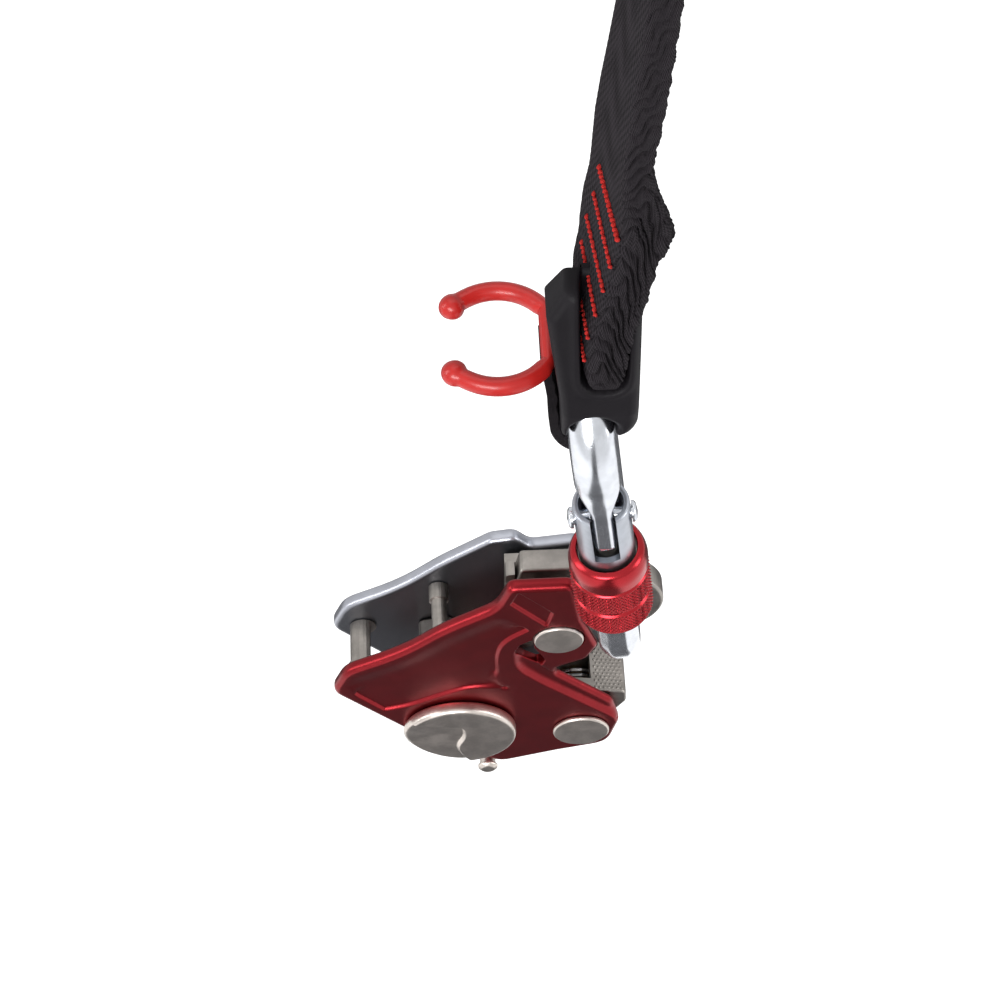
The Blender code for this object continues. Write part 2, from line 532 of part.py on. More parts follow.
# the webbing's line: height, then middle X, middle Y, half thickness left and right, twist
LANE = ((-44, -0.7, 0.0, 5.2, 5.2, 0), (8.3, 3.9, 0.6, 5.0, 4.9, 0),
        (24.3, 4.4, 0.6, 5.2, 3.8, 1), (36.3, 5.8, 0.4, 4.8, 3.2, 7),
        (41.3, 6.2, 0.4, 4.8, 3.6, 9), (46.3, 6.6, 0.3, 4.7, 6.2, 12),
        (59.3, 7.3, 0.2, 4.4, 4.6, 12), (68.3, 7.5, 0.2, 3.2, 3.6, 11),
        (100.3, 8.7, 0.0, 2.6, 2.8, 8), (156.3, 10.5, -0.3, 2.6, 2.8, 6))


def lane(h):
    """The webbing's line at height h over the crown, with X in the model's frame."""
    for a, b in zip(LANE, LANE[1:]):
        if h <= b[0] or b is LANE[-1]:
            t = max(0.0, min(1.0, (h - a[0]) / (b[0] - a[0])))
            mid = [p + (q - p) * t for p, q in zip(a, b)]
            return [mid[0], crown.x + mid[1], *mid[2:]]


def ribbon(name, outer, holes, layers, place, mat, origin):
    """A flat XZ outline with holes, given width along Y in layers, each point moved by place."""
    bm = bmesh.new()
    polys = [outer] + holes
    caps = []
    for y in (layers[0], layers[-1]):
        edges = []
        for poly in polys:
            vs = [bm.verts.new((x, y, z)) for x, z in poly]
            edges += [bm.edges.new((vs[i], vs[(i + 1) % len(vs)])) for i in range(len(vs))]
        bmesh.ops.triangle_fill(bm, edges=edges, use_beauty=True)
        caps.append(len(bm.verts))
    bm.verts.index_update()
    verts = [tuple(v.co) for v in bm.verts]
    faces = [[v.index for v in f.verts] for f in bm.faces]
    bm.free()
    total = sum(len(p) for p in polys)
    bases = [0]
    for y in layers[1:-1]:
        bases.append(len(verts))
        verts += [(x, y, z) for poly in polys for x, z in poly]
    bases.append(total)
    for lower, upper in zip(bases, bases[1:]):
        start = 0
        for poly in polys:
            m = len(poly)
            for i in range(m):
                a, b = start + i, start + (i + 1) % m
                faces.append([lower + a, lower + b, upper + b, upper + a])
            start += m
    return put(name, [place(*v) for v in verts], faces, mat, origin)


def place_web(x, y, z):
    """Follow the bend of the carabiner low down, and the lane's twist higher up."""
    h = z - cz
    _, mx, my, _, _, twist = lane(h)
    sag = CARA_Y - math.sqrt(CARA_Y ** 2 - min(abs(y), 14.0) ** 2)
    fade = max(0.0, min(1.0, (22.0 - h) / 13.0))
    if y < 0 and h > 6.3:
        y *= 1 + 0.37 * max(0.0, min(1.0, (48.3 - h) / 36.0))
    elif y > 0:
        y *= 1 - 0.6 * max(0.0, min(1.0, (41.3 - h) / 25.0))
    a = math.radians(twist)
    dx, dy = x - mx, y - my
    return (mx + dx * math.cos(a) - dy * math.sin(a) + sag * fade * math.tan(LEAN),
            my + dx * math.sin(a) + dy * math.cos(a), z - sag * fade)


top = cz + TOP_EYE_Z
eye_out = EYE_IN + BAND_T
levels = [8.3, 16.3, 24.3, 30.3, 36.3, 41.3, 46.3, 53.3, 59.3, 64.3, 68.3, 78.3, 89.3, 100.3,
          112.3, 122.3]
low = [(crown.x - eye_out * math.cos(t), cz - 1.5 - eye_out * math.sin(t))
       for t in [math.radians(15 * k) for k in range(13)]]
tx = lane(TOP_EYE_Z)[1]
top_out = TOP_EYE_R + BAND_T - 0.1
upper = [(tx + top_out * math.cos(t), top + top_out * math.sin(t)) for t in
         [math.radians(15 * k) for k in range(13)]]
outer = (low + [(lane(h)[1] + lane(h)[4], cz + h) for h in levels] + upper
         + [(lane(h)[1] - lane(h)[3], cz + h) for h in reversed(levels[1:])]
         + [(crown.x - 5.6, cz + 9.4), (crown.x - 9.4, cz + 3.0)])
hole_low = ([(crown.x - EYE_IN * math.cos(t), cz - 1.5 - EYE_IN * math.sin(t))
             for t in [math.radians(15 * k) for k in range(13)]]
            + [(crown.x + 6.0, cz + 8.0), (crown.x - 2.6, cz + 7.4), (crown.x - 6.4, cz + 2.0)])
hole_top = ([(tx + TOP_EYE_R * math.cos(t), top + TOP_EYE_R * math.sin(t)) for t in
             [math.radians(15 * k) for k in range(13)]] + [(tx - 0.2, top - 14)])
web = ribbon("webbing", outer, [hole_low, hole_top],
             [WEB_Y[0], -8.2, -3.9, 0.2, 4.6, 9.0, WEB_Y[1]], place_web, WEB, tuple(crown))
px0, px1 = [crown.x + x for x in POCKET_X]
kx0, kx1 = [crown.x + x for x in KEEPER_X]
kz0, kz1 = [cz + z for z in KEEPER_Z]
pz0 = cz + POCKET_Z
cx, cy, zc = CLIP_C[0] + crown.x, CLIP_C[1], CLIP_C[2] + cz
flat_x = cx + CLIP_FLAT
step = kx0 + 0.9
free = kz1 + 0.6
clip_low = zc - CLIP_ROD[0] - 2.4
trim = [(step, kz0 - 50, 0.1), (kx1 + 28, kz0 - 50, 0.1), (kx1 + 28, free, 0.1),
        (px1 - GAP, free, 0.1), (px1 - GAP, pz0 + GAP, POCKET_FILLET),
        (px0 + GAP, pz0 + GAP, POCKET_FILLET), (px0 + GAP, free, 0.1),
        (kx0 - 33, free, 0.1), (kx0 - 33, clip_low, 0.1), (step, clip_low, 0.1)]
cut(web, prism("cut_web_keeper", fillet(trim), -40, KEEPER_Y[1] + GAP),
    box("cut_web_clip", (kx0 - 33, -40, clip_low), (flat_x + CLIP_FLAT_W + 0.8, cy + 10.4,
                                                    zc + CLIP_ROD[0] + 0.8)))

# the rubber keeper: a saddle over the front of the carabiner's top, with a pocket for the webbing
keeper = prism("rubber_keeper", fillet([(kx0 + 2.4, kz0 + 5.0, 2.5), (kx0 + 1.4, kz0 + 20, 9.0),
                                        (kx0 - 0.3, kz1 - 5.5, 2.0), (kx0 + 5.5, kz1, 3.0),
                                        (kx1, kz1, 3.0),
                                        (kx1, kz0 + 12, 8.0), (kx1 - 5.0, kz0, 3.0)]),
               *KEEPER_Y, RUBBER, at=(crown.x, cz), bevel=1.2)
tunnel = sweep("cut_tunnel", [(on(0, y, z), ux) for y, z in loop[:-2]],
               lambda i: (BAR_R + 0.4, BAR_R + 0.4), 20)
slope = put("cut_slope", [(x, y, z) for x in (kx0 - 9, kx1 + 9) for y, z in
                          ((-40, cz + 2.3), (KEEPER_Y[0] - 0.4, cz + 2.3), (-10.4, kz1 + 3),
                           (-40, kz1 + 3))],
            [[0, 1, 2, 3], [7, 6, 5, 4], [0, 4, 5, 1], [1, 5, 6, 2], [2, 6, 7, 3], [3, 7, 4, 0]])
cut(web, tunnel)
arch = prism("cut_arch", [(crown.x + 1.3 + 5.4 * math.cos(t), cz - 3.1 + 5.4 * math.sin(t))
                          for t in [math.radians(15 * k) for k in range(13)]]
             + [(crown.x - 5.4, cz - 24), (crown.x + 8.4, cz - 24)], -40, -12)
pocket = fillet([(px0, pz0, POCKET_FILLET), (px1, pz0, POCKET_FILLET),
                 (px1, kz1 + 5, 0.1), (px0, kz1 + 5, 0.1)])
cut(keeper, tunnel, arch, slope, prism("cut_pocket_web", pocket, -40, 0))

path = []
ends = math.atan2(6.3, -10.8)
for k in range(33):
    a = ends - 2 * ends * k / 32
    far = max(0.0, (abs(a) - math.radians(118)) / (ends - math.radians(118)))
    r = CLIP_R + 0.5 * far ** 1.5
    path.append(Vector((min(cx + r * math.cos(a), flat_x), cy + r * math.sin(a), zc)))
sizes = [CLIP_ROD if p.x < flat_x - 0.2 else (CLIP_ROD[0], CLIP_FLAT_W) for p in path]
for end in (0, -1):
    tip = path[end]
    inward = (path[1] - path[0] if end == 0 else path[-2] - path[-1]).normalized()
    steps = [(tip + inward * (-BALL_R * math.cos(math.radians(20 * k + 12))),
              (BALL_R * math.sin(math.radians(20 * k + 12)),) * 2) for k in range(7)]
    if end == 0:
        path = [p for p, _ in steps] + path[2:]
        sizes = [q for _, q in steps] + sizes[2:]
    else:
        path = path[:-2] + [p for p, _ in reversed(steps)]
        sizes = sizes[:-2] + [q for _, q in reversed(steps)]
clip = sweep("rope_clip", [(p, Vector((0, 0, 1))) for p in path], lambda i: sizes[i], 12, CLIPRED,
             tuple(crown))
groove = sweep("cut_clip", [(p, Vector((0, 0, 1))) for p in path[12:-12]],
               lambda i: (sizes[12 + i][0] + GAP, sizes[12 + i][1] + GAP), 12)
cut(keeper, groove)
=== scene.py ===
# %% [markdown]
# # A rope-grab ascender, its carabiner and the end of its lanyard
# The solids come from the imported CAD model, in metres, with +Z up and the hinged front plate
# towards -Y. This file gives them their looks: anodised plates with milled relief,
# a knurled sleeve, plated and stainless steel, rubber, and sewn webbing.

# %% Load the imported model
import math

import bmesh
import bpy
import numpy as np
from mathutils import Matrix, Vector
from mathutils.geometry import delaunay_2d_cdt


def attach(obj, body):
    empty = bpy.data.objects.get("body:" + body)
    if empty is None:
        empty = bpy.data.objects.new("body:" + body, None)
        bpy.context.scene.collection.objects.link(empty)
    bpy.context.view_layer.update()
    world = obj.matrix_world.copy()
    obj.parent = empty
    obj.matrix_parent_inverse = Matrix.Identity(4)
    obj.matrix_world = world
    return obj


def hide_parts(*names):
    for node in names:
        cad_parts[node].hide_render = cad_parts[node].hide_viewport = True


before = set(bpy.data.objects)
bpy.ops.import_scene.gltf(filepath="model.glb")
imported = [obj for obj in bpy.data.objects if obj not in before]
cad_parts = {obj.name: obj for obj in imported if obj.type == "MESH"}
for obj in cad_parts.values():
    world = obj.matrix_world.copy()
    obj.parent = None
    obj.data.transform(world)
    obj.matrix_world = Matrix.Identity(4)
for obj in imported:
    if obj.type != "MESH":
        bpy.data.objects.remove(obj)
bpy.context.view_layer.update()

MM = 0.001

# %% [markdown]
# ## The camera
# The photograph looks down on the front plate from 58 degrees with a long lens. Its place was
# worked out from the ellipses that the round caps and the knob make in the picture.

# %% Camera
FOCAL = 2360.0 / 1000.0 * 36.0
elevation, azimuth = math.radians(58.0), math.radians(-2.5)
right = Vector((math.cos(azimuth), math.sin(azimuth), 0))
backward = Vector((math.sin(azimuth) * math.cos(elevation),
                   -math.cos(azimuth) * math.cos(elevation), math.sin(elevation)))
camera = bpy.data.objects.new("camera", bpy.data.cameras.new("camera"))
bpy.context.scene.collection.objects.link(camera)
camera.matrix_world = (Matrix.Translation(Vector((-7.6, -281.4, 497.16)) * MM)
                       @ Matrix((right, backward.cross(right), backward)).transposed().to_4x4())
camera.data.sensor_width = 36.0
camera.data.lens = FOCAL
camera.data.clip_start = 0.01
bpy.context.scene.camera = camera
print("lens", round(FOCAL, 1), "mm")

# %% [markdown]
# ## Shader maths as Python
# A material is easier to read as expressions than as a web of nodes. `Value` wraps a socket and
# adds a Math node for each operator; `Finish` holds one material and adds any other node.


# %% Socket wrapper and material helper
class Value:
    """A shader socket that adds its Math node when it is used in an expression."""

    def __init__(self, finish, socket):
        self.finish, self.socket = finish, socket

    def math(self, operation, *others):
        return self.finish.node("ShaderNodeMath", {"operation": operation},
                                dict(enumerate((self, *others))))

    def __add__(self, other):
        return self.math("ADD", other)

    def __mul__(self, other):
        return self.math("MULTIPLY", other)

    def __sub__(self, other):
        return self.math("SUBTRACT", other)

    def __rsub__(self, other):
        return self.math("MULTIPLY", -1.0) + other

    def __pow__(self, other):
        return self.math("POWER", other)

    __radd__, __rmul__ = __add__, __mul__

    def sin(self):
        return self.math("SINE")

    def above(self, low, high):
        """0 below low, 1 above high, a smooth step between."""
        return self.finish.node("ShaderNodeMapRange", {"interpolation_type": "SMOOTHSTEP"},
                                {"Value": self, "From Min": low, "From Max": high})


class Finish:
    """One material: constants go on the shader's sockets, the rest is linked."""

    def __init__(self, name, color, **constants):
        self.material = bpy.data.materials.new(name)
        self.material.use_nodes = True
        self.tree = self.material.node_tree
        self.shader = self.tree.nodes["Principled BSDF"]
        self.shader.inputs["Base Color"].default_value = (*color, 1.0)
        for key, value in constants.items():
            socket = key.replace("_", " ").title().replace("Ior", "IOR")
            self.shader.inputs[socket].default_value = value

    def feed(self, value, socket):
        if isinstance(value, Value):
            self.tree.links.new(value.socket, socket)
        else:
            socket.default_value = value

    def node(self, kind, settings=None, inputs=None, output=0):
        made = self.tree.nodes.new(kind)
        for key, value in (settings or {}).items():
            setattr(made, key, value)
        for key, value in (inputs or {}).items():
            self.feed(value, made.inputs[key])
        return Value(self, made.outputs[output])

    def place(self, source="Object"):
        return self.node("ShaderNodeTexCoord", output=source)

    def axis(self, vector, name):
        return self.node("ShaderNodeSeparateXYZ", None, {0: vector}, name)

    def noise(self, vector, scale, detail=3.0, rough=0.55):
        return self.node("ShaderNodeTexNoise", None, {"Vector": vector, "Scale": scale,
                                                      "Detail": detail, "Roughness": rough})

    def mix(self, factor, first, second):
        return self.node("ShaderNodeMix", {"data_type": "RGBA"},
                         {0: factor, 6: first, 7: second}, 2)

    def bump(self, height, strength, distance):
        normal = self.node("ShaderNodeBump", None, {"Height": height, "Strength": strength,
                                                    "Distance": distance * MM})
        self.set("Normal", normal)

    def set(self, socket, value):
        self.feed(value, self.shader.inputs[socket])


def shade(color, factor):
    """A colour made lighter or darker, as the shader wants it."""
    return (*[min(1.0, c * factor) for c in color], 1.0)


# %% [markdown]
# ## Finishes
# Anodised aluminium is metal with a dyed skin: a strongly coloured reflection and a little grain
# from blasting. It could be painted as a red plastic, but only a metal's reflection takes the
# dye's colour. Stainless parts are tumbled, so they are matte and slightly blotchy; the turned
# heads are brighter and keep faint rings from the lathe. The carabiner is bright zinc over steel,
# smooth with a fine sparkle, and its drawn gate tube is duller.


# %% Metal finishes
def anodised(name, color, rough, grain=1.0, face=None):
    """Dyed aluminium: blotches and blasting grain from noise on Object coordinates.

    face = (y, share): painted shade between parts: the side at y and all in front of it is darker
    by that share.
    """
    f = Finish(name, color, metallic=0.92, roughness=rough)
    here = f.place()
    cloud = f.noise(here, 160.0, 4.0)
    fine = f.noise(here, 6500.0, 2.0)
    dye_and_shade = f.mix(cloud.above(0.3, 0.7), shade(color, 0.94), shade(color, 1.06))
    # painted shade: the side that faces the next part is darker, standing in for the shade there
    if face:
        y = f.axis(here, "Y")
        dye_and_shade = f.mix(y.above(face[0] * MM, (face[0] + 0.5) * MM), shade(color, face[1]), dye_and_shade)
    f.set("Base Color", dye_and_shade)
    f.set("Roughness", rough - 0.03 + cloud * 0.06 + (fine - 0.5) * 0.08)
    f.bump(fine, 0.10 * grain, 0.05)
    return f.material


def tumbled_steel(name, color, rough, centre=None, brushed=None):
    """Matte steel: noise blotches, with lathe rings round a centre or brushing along an axis."""
    f = Finish(name, color, metallic=1.0, roughness=rough)
    here = f.place()
    cloud = f.noise(here, 220.0, 5.0, 0.6)
    fine = f.noise(here, 9000.0, 2.0)
    height = fine
    if centre:
        x = f.axis(here, "X") - centre[0] * MM
        z = f.axis(here, "Z") - centre[1] * MM
        radius = (x * x + z * z) ** 0.5
        rings = (radius * 20000.0 + cloud * 5.0).sin()
        height = fine * 0.6 + rings * 0.35
    if brushed:
        stretched = f.node("ShaderNodeMapping", None, {"Vector": here, "Scale": brushed})
        height = f.noise(stretched, 900.0, 4.0, 0.7) * 1.2 + fine * 0.3
    f.set("Base Color", f.mix(cloud.above(0.32, 0.68), shade(color, 0.86), shade(color, 1.14)))
    f.set("Roughness", rough - 0.05 + cloud * 0.1)
    f.bump(height, 0.12, 0.04)
    return f.material


def plated(name, color, rough):
    """Bright zinc: a smooth mirror-like skin with a fine sparkle and soft waviness."""
    f = Finish(name, color, metallic=1.0, roughness=rough)
    here = f.place()
    cloud = f.noise(here, 300.0, 3.0)
    sparkle = f.noise(here, 7000.0, 1.0)
    f.set("Base Color", f.mix(cloud.above(0.35, 0.65), shade(color, 0.92), shade(color, 1.05)))
    f.set("Roughness", rough - 0.03 + cloud * 0.07 + sparkle.above(0.6, 0.75) * 0.08)
    f.bump(sparkle * 0.4 + f.noise(here, 900.0, 2.0) * 0.6, 0.07, 0.06)
    return f.material


RED = (0.20, 0.012, 0.016)
STEEL = (0.27, 0.25, 0.23)
TURNED = (0.54, 0.49, 0.45)
red_plate = anodised("red_anodised_plate", RED, 0.34)
red_sleeve = anodised("red_anodised_sleeve", (0.33, 0.018, 0.024), 0.25, 0.5)
grey_plate = anodised("grey_anodised", (0.36, 0.37, 0.41), 0.36)
steel = tumbled_steel("stainless_tumbled", STEEL, 0.42)
brushed_steel = tumbled_steel("stainless_brushed", STEEL, 0.4, brushed=(1.0, 14.0, 1.0))
zinc = plated("bright_zinc_plate", (0.60, 0.62, 0.66), 0.2)
satin_zinc = plated("satin_zinc_plate", (0.36, 0.38, 0.42), 0.3)
wire = tumbled_steel("spring_wire", (0.5, 0.5, 0.5), 0.28)
bronze = tumbled_steel("bearing_bronze", (0.45, 0.29, 0.14), 0.4)
print("metals:", len(bpy.data.materials))

# %% [markdown]
# ## Soft finishes
# The keeper is smooth moulded rubber. The clip is glossy red plastic with a mould's soft
# unevenness. The webbing is a tube of black yarn: its weave follows the cloth, so it reads the
# piece's own UV map, in millimetres along and across the band.


# %% Rubber, plastic, webbing and thread
def moulded(name, color, rough, coat=0.0, shine=0.3):
    """A moulded skin: fine grain in the bump, soft blotches in the roughness."""
    f = Finish(name, color, roughness=rough, coat_weight=coat, specular_ior_level=shine)
    here = f.place()
    cloud = f.noise(here, 250.0, 4.0)
    fine = f.noise(here, 5000.0, 2.0)
    f.set("Base Color", f.mix(cloud, shade(color, 0.85), shade(color, 1.2)))
    f.set("Roughness", rough - 0.06 + cloud * 0.14)
    f.bump(fine * 0.5 + f.noise(here, 700.0, 2.0) * 0.5, 0.10, 0.06)
    return f.material


def woven(name, color, pitch):
    """Twill in the piece's UV map (millimetres): two crossed waves, offset row by row."""
    f = Finish(name, color, roughness=0.85, specular_ior_level=0.12)
    uv = f.place("UV")
    across, along = f.axis(uv, "X"), f.axis(uv, "Y")
    wobble = f.noise(uv, 1.3, 3.0)
    k = 2 * math.pi / pitch
    twill = (across * k + along * (k * 0.9) + wobble * 1.4).sin()
    warp = (across * k - along * (k * 0.35)).sin()
    yarn = (twill * 0.6 + warp * 0.4) * 0.5 + 0.5
    fibre = f.noise(uv, 14.0, 3.0, 0.7)
    light = (yarn * 0.75 + fibre * 0.5).above(0.25, 1.0)
    f.set("Base Color", f.mix(light, shade(color, 0.35), shade(color, 1.6)))
    f.set("Roughness", 0.95 - yarn * 0.15)
    f.bump(yarn * 0.8 + fibre * 0.5, 0.8, 0.22)
    return f.material


rubber = moulded("moulded_rubber", (0.007, 0.006, 0.0075), 0.5, shine=0.1)
clip_red = moulded("moulded_red_plastic", (0.37, 0.012, 0.010), 0.34, 0.1)
webbing_cloth = woven("webbing_twill", (0.016, 0.0135, 0.016), 0.8)
thread = woven("red_thread", (0.72, 0.035, 0.03), 0.35)
print("materials:", len(bpy.data.materials))

# %% Give the carried-over solids their finishes
plain = {
    "front_plate": red_plate, "lock_sleeve": red_sleeve, "rear_plate": grey_plate,
    "carabiner_body": zinc, "gate_tube": zinc, "gate_pin": zinc, "catch_spring": wire,
    "gate_spring": wire, "pivot_bush": bronze, "axle_bush": bronze, "selector_cam": bronze,
    "rubber_keeper": rubber, "rope_clip": clip_red, "webbing": webbing_cloth,
    "arm": brushed_steel,
}
for node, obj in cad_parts.items():
    for slot in obj.material_slots:
        slot.material = plain.get(node, steel)

# %% [markdown]
# ## Making meshes from arrays
# Every new piece is a grid or a triangulated sheet worked out with numpy in millimetres. One
# helper turns it into a clean closed mesh in metres and rides it on its body.


# %% Mesh helper
def piece(name, verts, faces, material, body, replaces=(), uv=None, sharp=38.0):
    """Points in millimetres and faces to a closed, smooth-shaded mesh object."""
    mesh = bpy.data.meshes.new(name)
    mesh.from_pydata((np.asarray(verts) * MM).tolist(), [], np.asarray(faces).tolist()
                     if isinstance(faces, np.ndarray) else faces)
    if uv is not None:
        layer = mesh.uv_layers.new(name="cloth")
        corner = np.empty(len(mesh.loops), np.int32)
        mesh.loops.foreach_get("vertex_index", corner)
        layer.data.foreach_set("uv", np.asarray(uv, np.float32)[corner].ravel())
    bm = bmesh.new()
    bm.from_mesh(mesh)
    bmesh.ops.remove_doubles(bm, verts=bm.verts, dist=2e-6)
    bmesh.ops.dissolve_degenerate(bm, edges=bm.edges, dist=1e-7)
    bmesh.ops.recalc_face_normals(bm, faces=bm.faces)
    bm.to_mesh(mesh)
    bm.free()
    mesh.shade_smooth()
    mesh.set_sharp_from_angle(angle=math.radians(sharp))
    mesh.materials.append(material)
    obj = bpy.data.objects.new(name, mesh)
    bpy.context.scene.collection.objects.link(obj)
    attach(obj, body)
    if replaces:
        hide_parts(*replaces)
    print(name, len(mesh.polygons), "faces")
    return obj


def grid_faces(rows, columns, wrap_rows=False, wrap_columns=False):
    """Quads of a grid of points stored row by row."""
    i = np.arange(rows if wrap_rows else rows - 1)[:, None]
    j = np.arange(columns if wrap_columns else columns - 1)[None, :]
    a, b = i * columns, (i + 1) % rows * columns
    k = (j + 1) % columns
    return np.stack([a + j, a + k, b + k, b + j], -1).reshape(-1, 4)


# %% [markdown]
# ## Round pieces
# A turned piece is its profile, as radius against height, carried round an axis:
# point = foot + radius (cos t * e1 + sin t * e2) + height * e3.


# %% Turned pieces
def revolve(profile, foot, up, seg=96, relief=None):
    """Verts and faces of a closed profile (radius, height) turned round the line foot + h up."""
    up = np.array(up, float) / np.linalg.norm(up)
    side = np.cross(up, (0.0, 1.0, 0.0) if abs(up[1]) < 0.8 else (0.0, 0.0, 1.0))
    side /= np.linalg.norm(side)
    other = np.cross(up, side)
    profile = np.asarray(profile, float)
    t = np.linspace(0, 2 * math.pi, seg, endpoint=False)
    radius = np.repeat(profile[:, :1], seg, 1)
    if relief is not None:
        radius = radius + relief(profile[:, 1:], t[None, :])
    verts = (np.asarray(foot) + radius[..., None] * (np.cos(t)[:, None] * side
                                                     + np.sin(t)[:, None] * other)
             + profile[:, 1][:, None, None] * up)
    return verts.reshape(-1, 3), grid_faces(len(profile), seg, True, True)


def rounded(points, steps=5):
    """Round the corners of a broken line: each point is (a, b, radius), ends kept."""
    out = [points[0][:2]]
    for before, here, after in zip(points, points[1:], points[2:]):
        p = np.array(here[:2], float)
        a, b = np.array(before[:2]) - p, np.array(after[:2]) - p
        la, lb = np.linalg.norm(a), np.linalg.norm(b)
        a, b = a / la, b / lb
        half = math.acos(max(-1.0, min(1.0, float(a @ b)))) / 2
        if here[2] <= 0 or half > 1.55:
            out.append(tuple(p))
            continue
        reach = min(here[2] / math.tan(half), la * 0.49, lb * 0.49)
        s = np.linspace(0, 1, steps + 1)[:, None]
        curve = (1 - s) ** 2 * (p + a * reach) + 2 * s * (1 - s) * p + s ** 2 * (p + b * reach)
        out += [tuple(c) for c in curve]
    out.append(points[-1][:2])
    return np.array(out)


def closed_round(points, steps=6):
    """The same for a closed outline."""
    ring = [points[-1], *points, points[0]]
    return rounded(ring, steps)[1:-1]


# %% Caps, rivet and stop pin
AXLE, PIVOT, STOP, KNOB = (18.3, 0.0), (25.0, -48.1), (1.0, -67.4), (-6.1, -43.6)
AXIS_Y = (0.0, 1.0, 0.0)
heads = [
    ("axle_cap_turned", AXLE, "cover", "axle_cap",
     [(0, -11.72, 0), (5.75, -11.68, 0.35), (6.0, -11.2, 0.3), (6.0, -10.1, 0), (1.6, -10.1, 0),
      (1.6, -9.1, 0), (0, -9.1, 0)]),
    ("pivot_rivet_turned", PIVOT, "frame", "pivot_rivet",
     [(0, -12.28, 0), (6.8, -12.2, 0.4), (7.2, -11.8, 0.3), (7.2, -11.28, 0), (3.6, -11.28, 0),
      (3.6, 11.28, 0), (6.6, 11.28, 0), (6.6, 11.9, 0.3), (6.2, 12.25, 0.4), (0, 12.3, 0)]),
    ("stop_pin_turned", STOP, "cover", "stop_pin",
     [(0, -12.5, 0), (1.7, -12.4, 0.9), (2.6, -11.7, 0.8), (2.6, -11.05, 0.2), (2.1, -11.0, 0),
      (2.1, -8.7, 0), (1.2, -8.3, 0), (0, -8.3, 0)]),
]
for name, (x, z), body, node, profile in heads:
    verts, faces = revolve(rounded(profile), (x, 0, z), AXIS_Y, 96)
    piece(name, verts, faces, tumbled_steel(name + "_steel", TURNED, 0.38, centre=(x, z)), body,
          (node,))

# %% [markdown]
# ## Milled plates
# A plate is a flat outline with a height for every point of its face. The outline, rings just
# inside it and a fine grid near each milled feature are triangulated together, then each point
# is lifted: y = face - relief + rim, where the rim is a quarter circle over the distance to the
# edge. The back gets its own height, so grooves there are real as well.


# %% Distances and outlines
def nearest(p, line, closed=True):
    """Distance from points to a broken line, the side they are on, and how far along it."""
    a = line if closed else line[:-1]
    ab = (np.roll(line, -1, 0) if closed else line[1:]) - a
    out = []
    for part in np.array_split(p, max(1, len(p) * len(a) // 2000000 + 1)):
        w = part[:, None] - a
        t = np.clip((w * ab).sum(-1) / np.maximum((ab ** 2).sum(-1), 1e-12), 0, 1)
        v = w - t[..., None] * ab
        d = np.hypot(v[..., 0], v[..., 1])
        i = d.argmin(1)
        r = np.arange(len(part))
        cross = ab[i, 0] * w[r, i, 1] - ab[i, 1] * w[r, i, 0]
        out.append(np.stack([d[r, i], np.sign(cross), (i + t[r, i]) / len(a)], 1))
    return np.concatenate(out).T


def inside(p, ring):
    """Even-odd test of points against a closed outline."""
    a, b = ring, np.roll(ring, -1, 0)
    hit = np.zeros(len(p), int)
    for part in range(0, len(a), 64):
        s, e = a[part:part + 64], b[part:part + 64]
        crosses = (s[:, 1] > p[:, 1:]) != (e[:, 1] > p[:, 1:])
        at = s[:, 0] + (p[:, 1:] - s[:, 1]) / np.where(e[:, 1] == s[:, 1], 1e-9,
                                                       e[:, 1] - s[:, 1]) * (e[:, 0] - s[:, 0])
        hit += (crosses & (p[:, :1] < at)).sum(1)
    return hit % 2 == 1


def resample(ring, pitch):
    """Points at even steps round a closed outline."""
    loop = np.vstack([ring, ring[:1]])
    s = np.concatenate([[0], np.cumsum(np.hypot(*np.diff(loop, axis=0).T))])
    at = np.linspace(0, s[-1], max(12, int(s[-1] / pitch)), endpoint=False)
    return np.stack([np.interp(at, s, loop[:, 0]), np.interp(at, s, loop[:, 1])], 1)


def lattice(lo, hi, pitch):
    """A triangular lattice of points over a box."""
    x, z = np.meshgrid(np.arange(lo[0], hi[0], pitch), np.arange(lo[1], hi[1], pitch * 0.87))
    x = x + (np.arange(len(x))[:, None] % 2) * pitch / 2
    return np.stack([x.ravel(), z.ravel()], 1)


def step(d, width):
    """0 at d <= 0, 1 at d >= width, smooth between."""
    t = np.clip(d / width, 0, 1)
    return t * t * (3 - 2 * t)


def circle(cx, cz, r, n=64):
    """Points round a circle."""
    t = np.linspace(0, 2 * math.pi, n, endpoint=False)
    return np.stack([cx + r * np.cos(t), cz + r * np.sin(t)], 1)


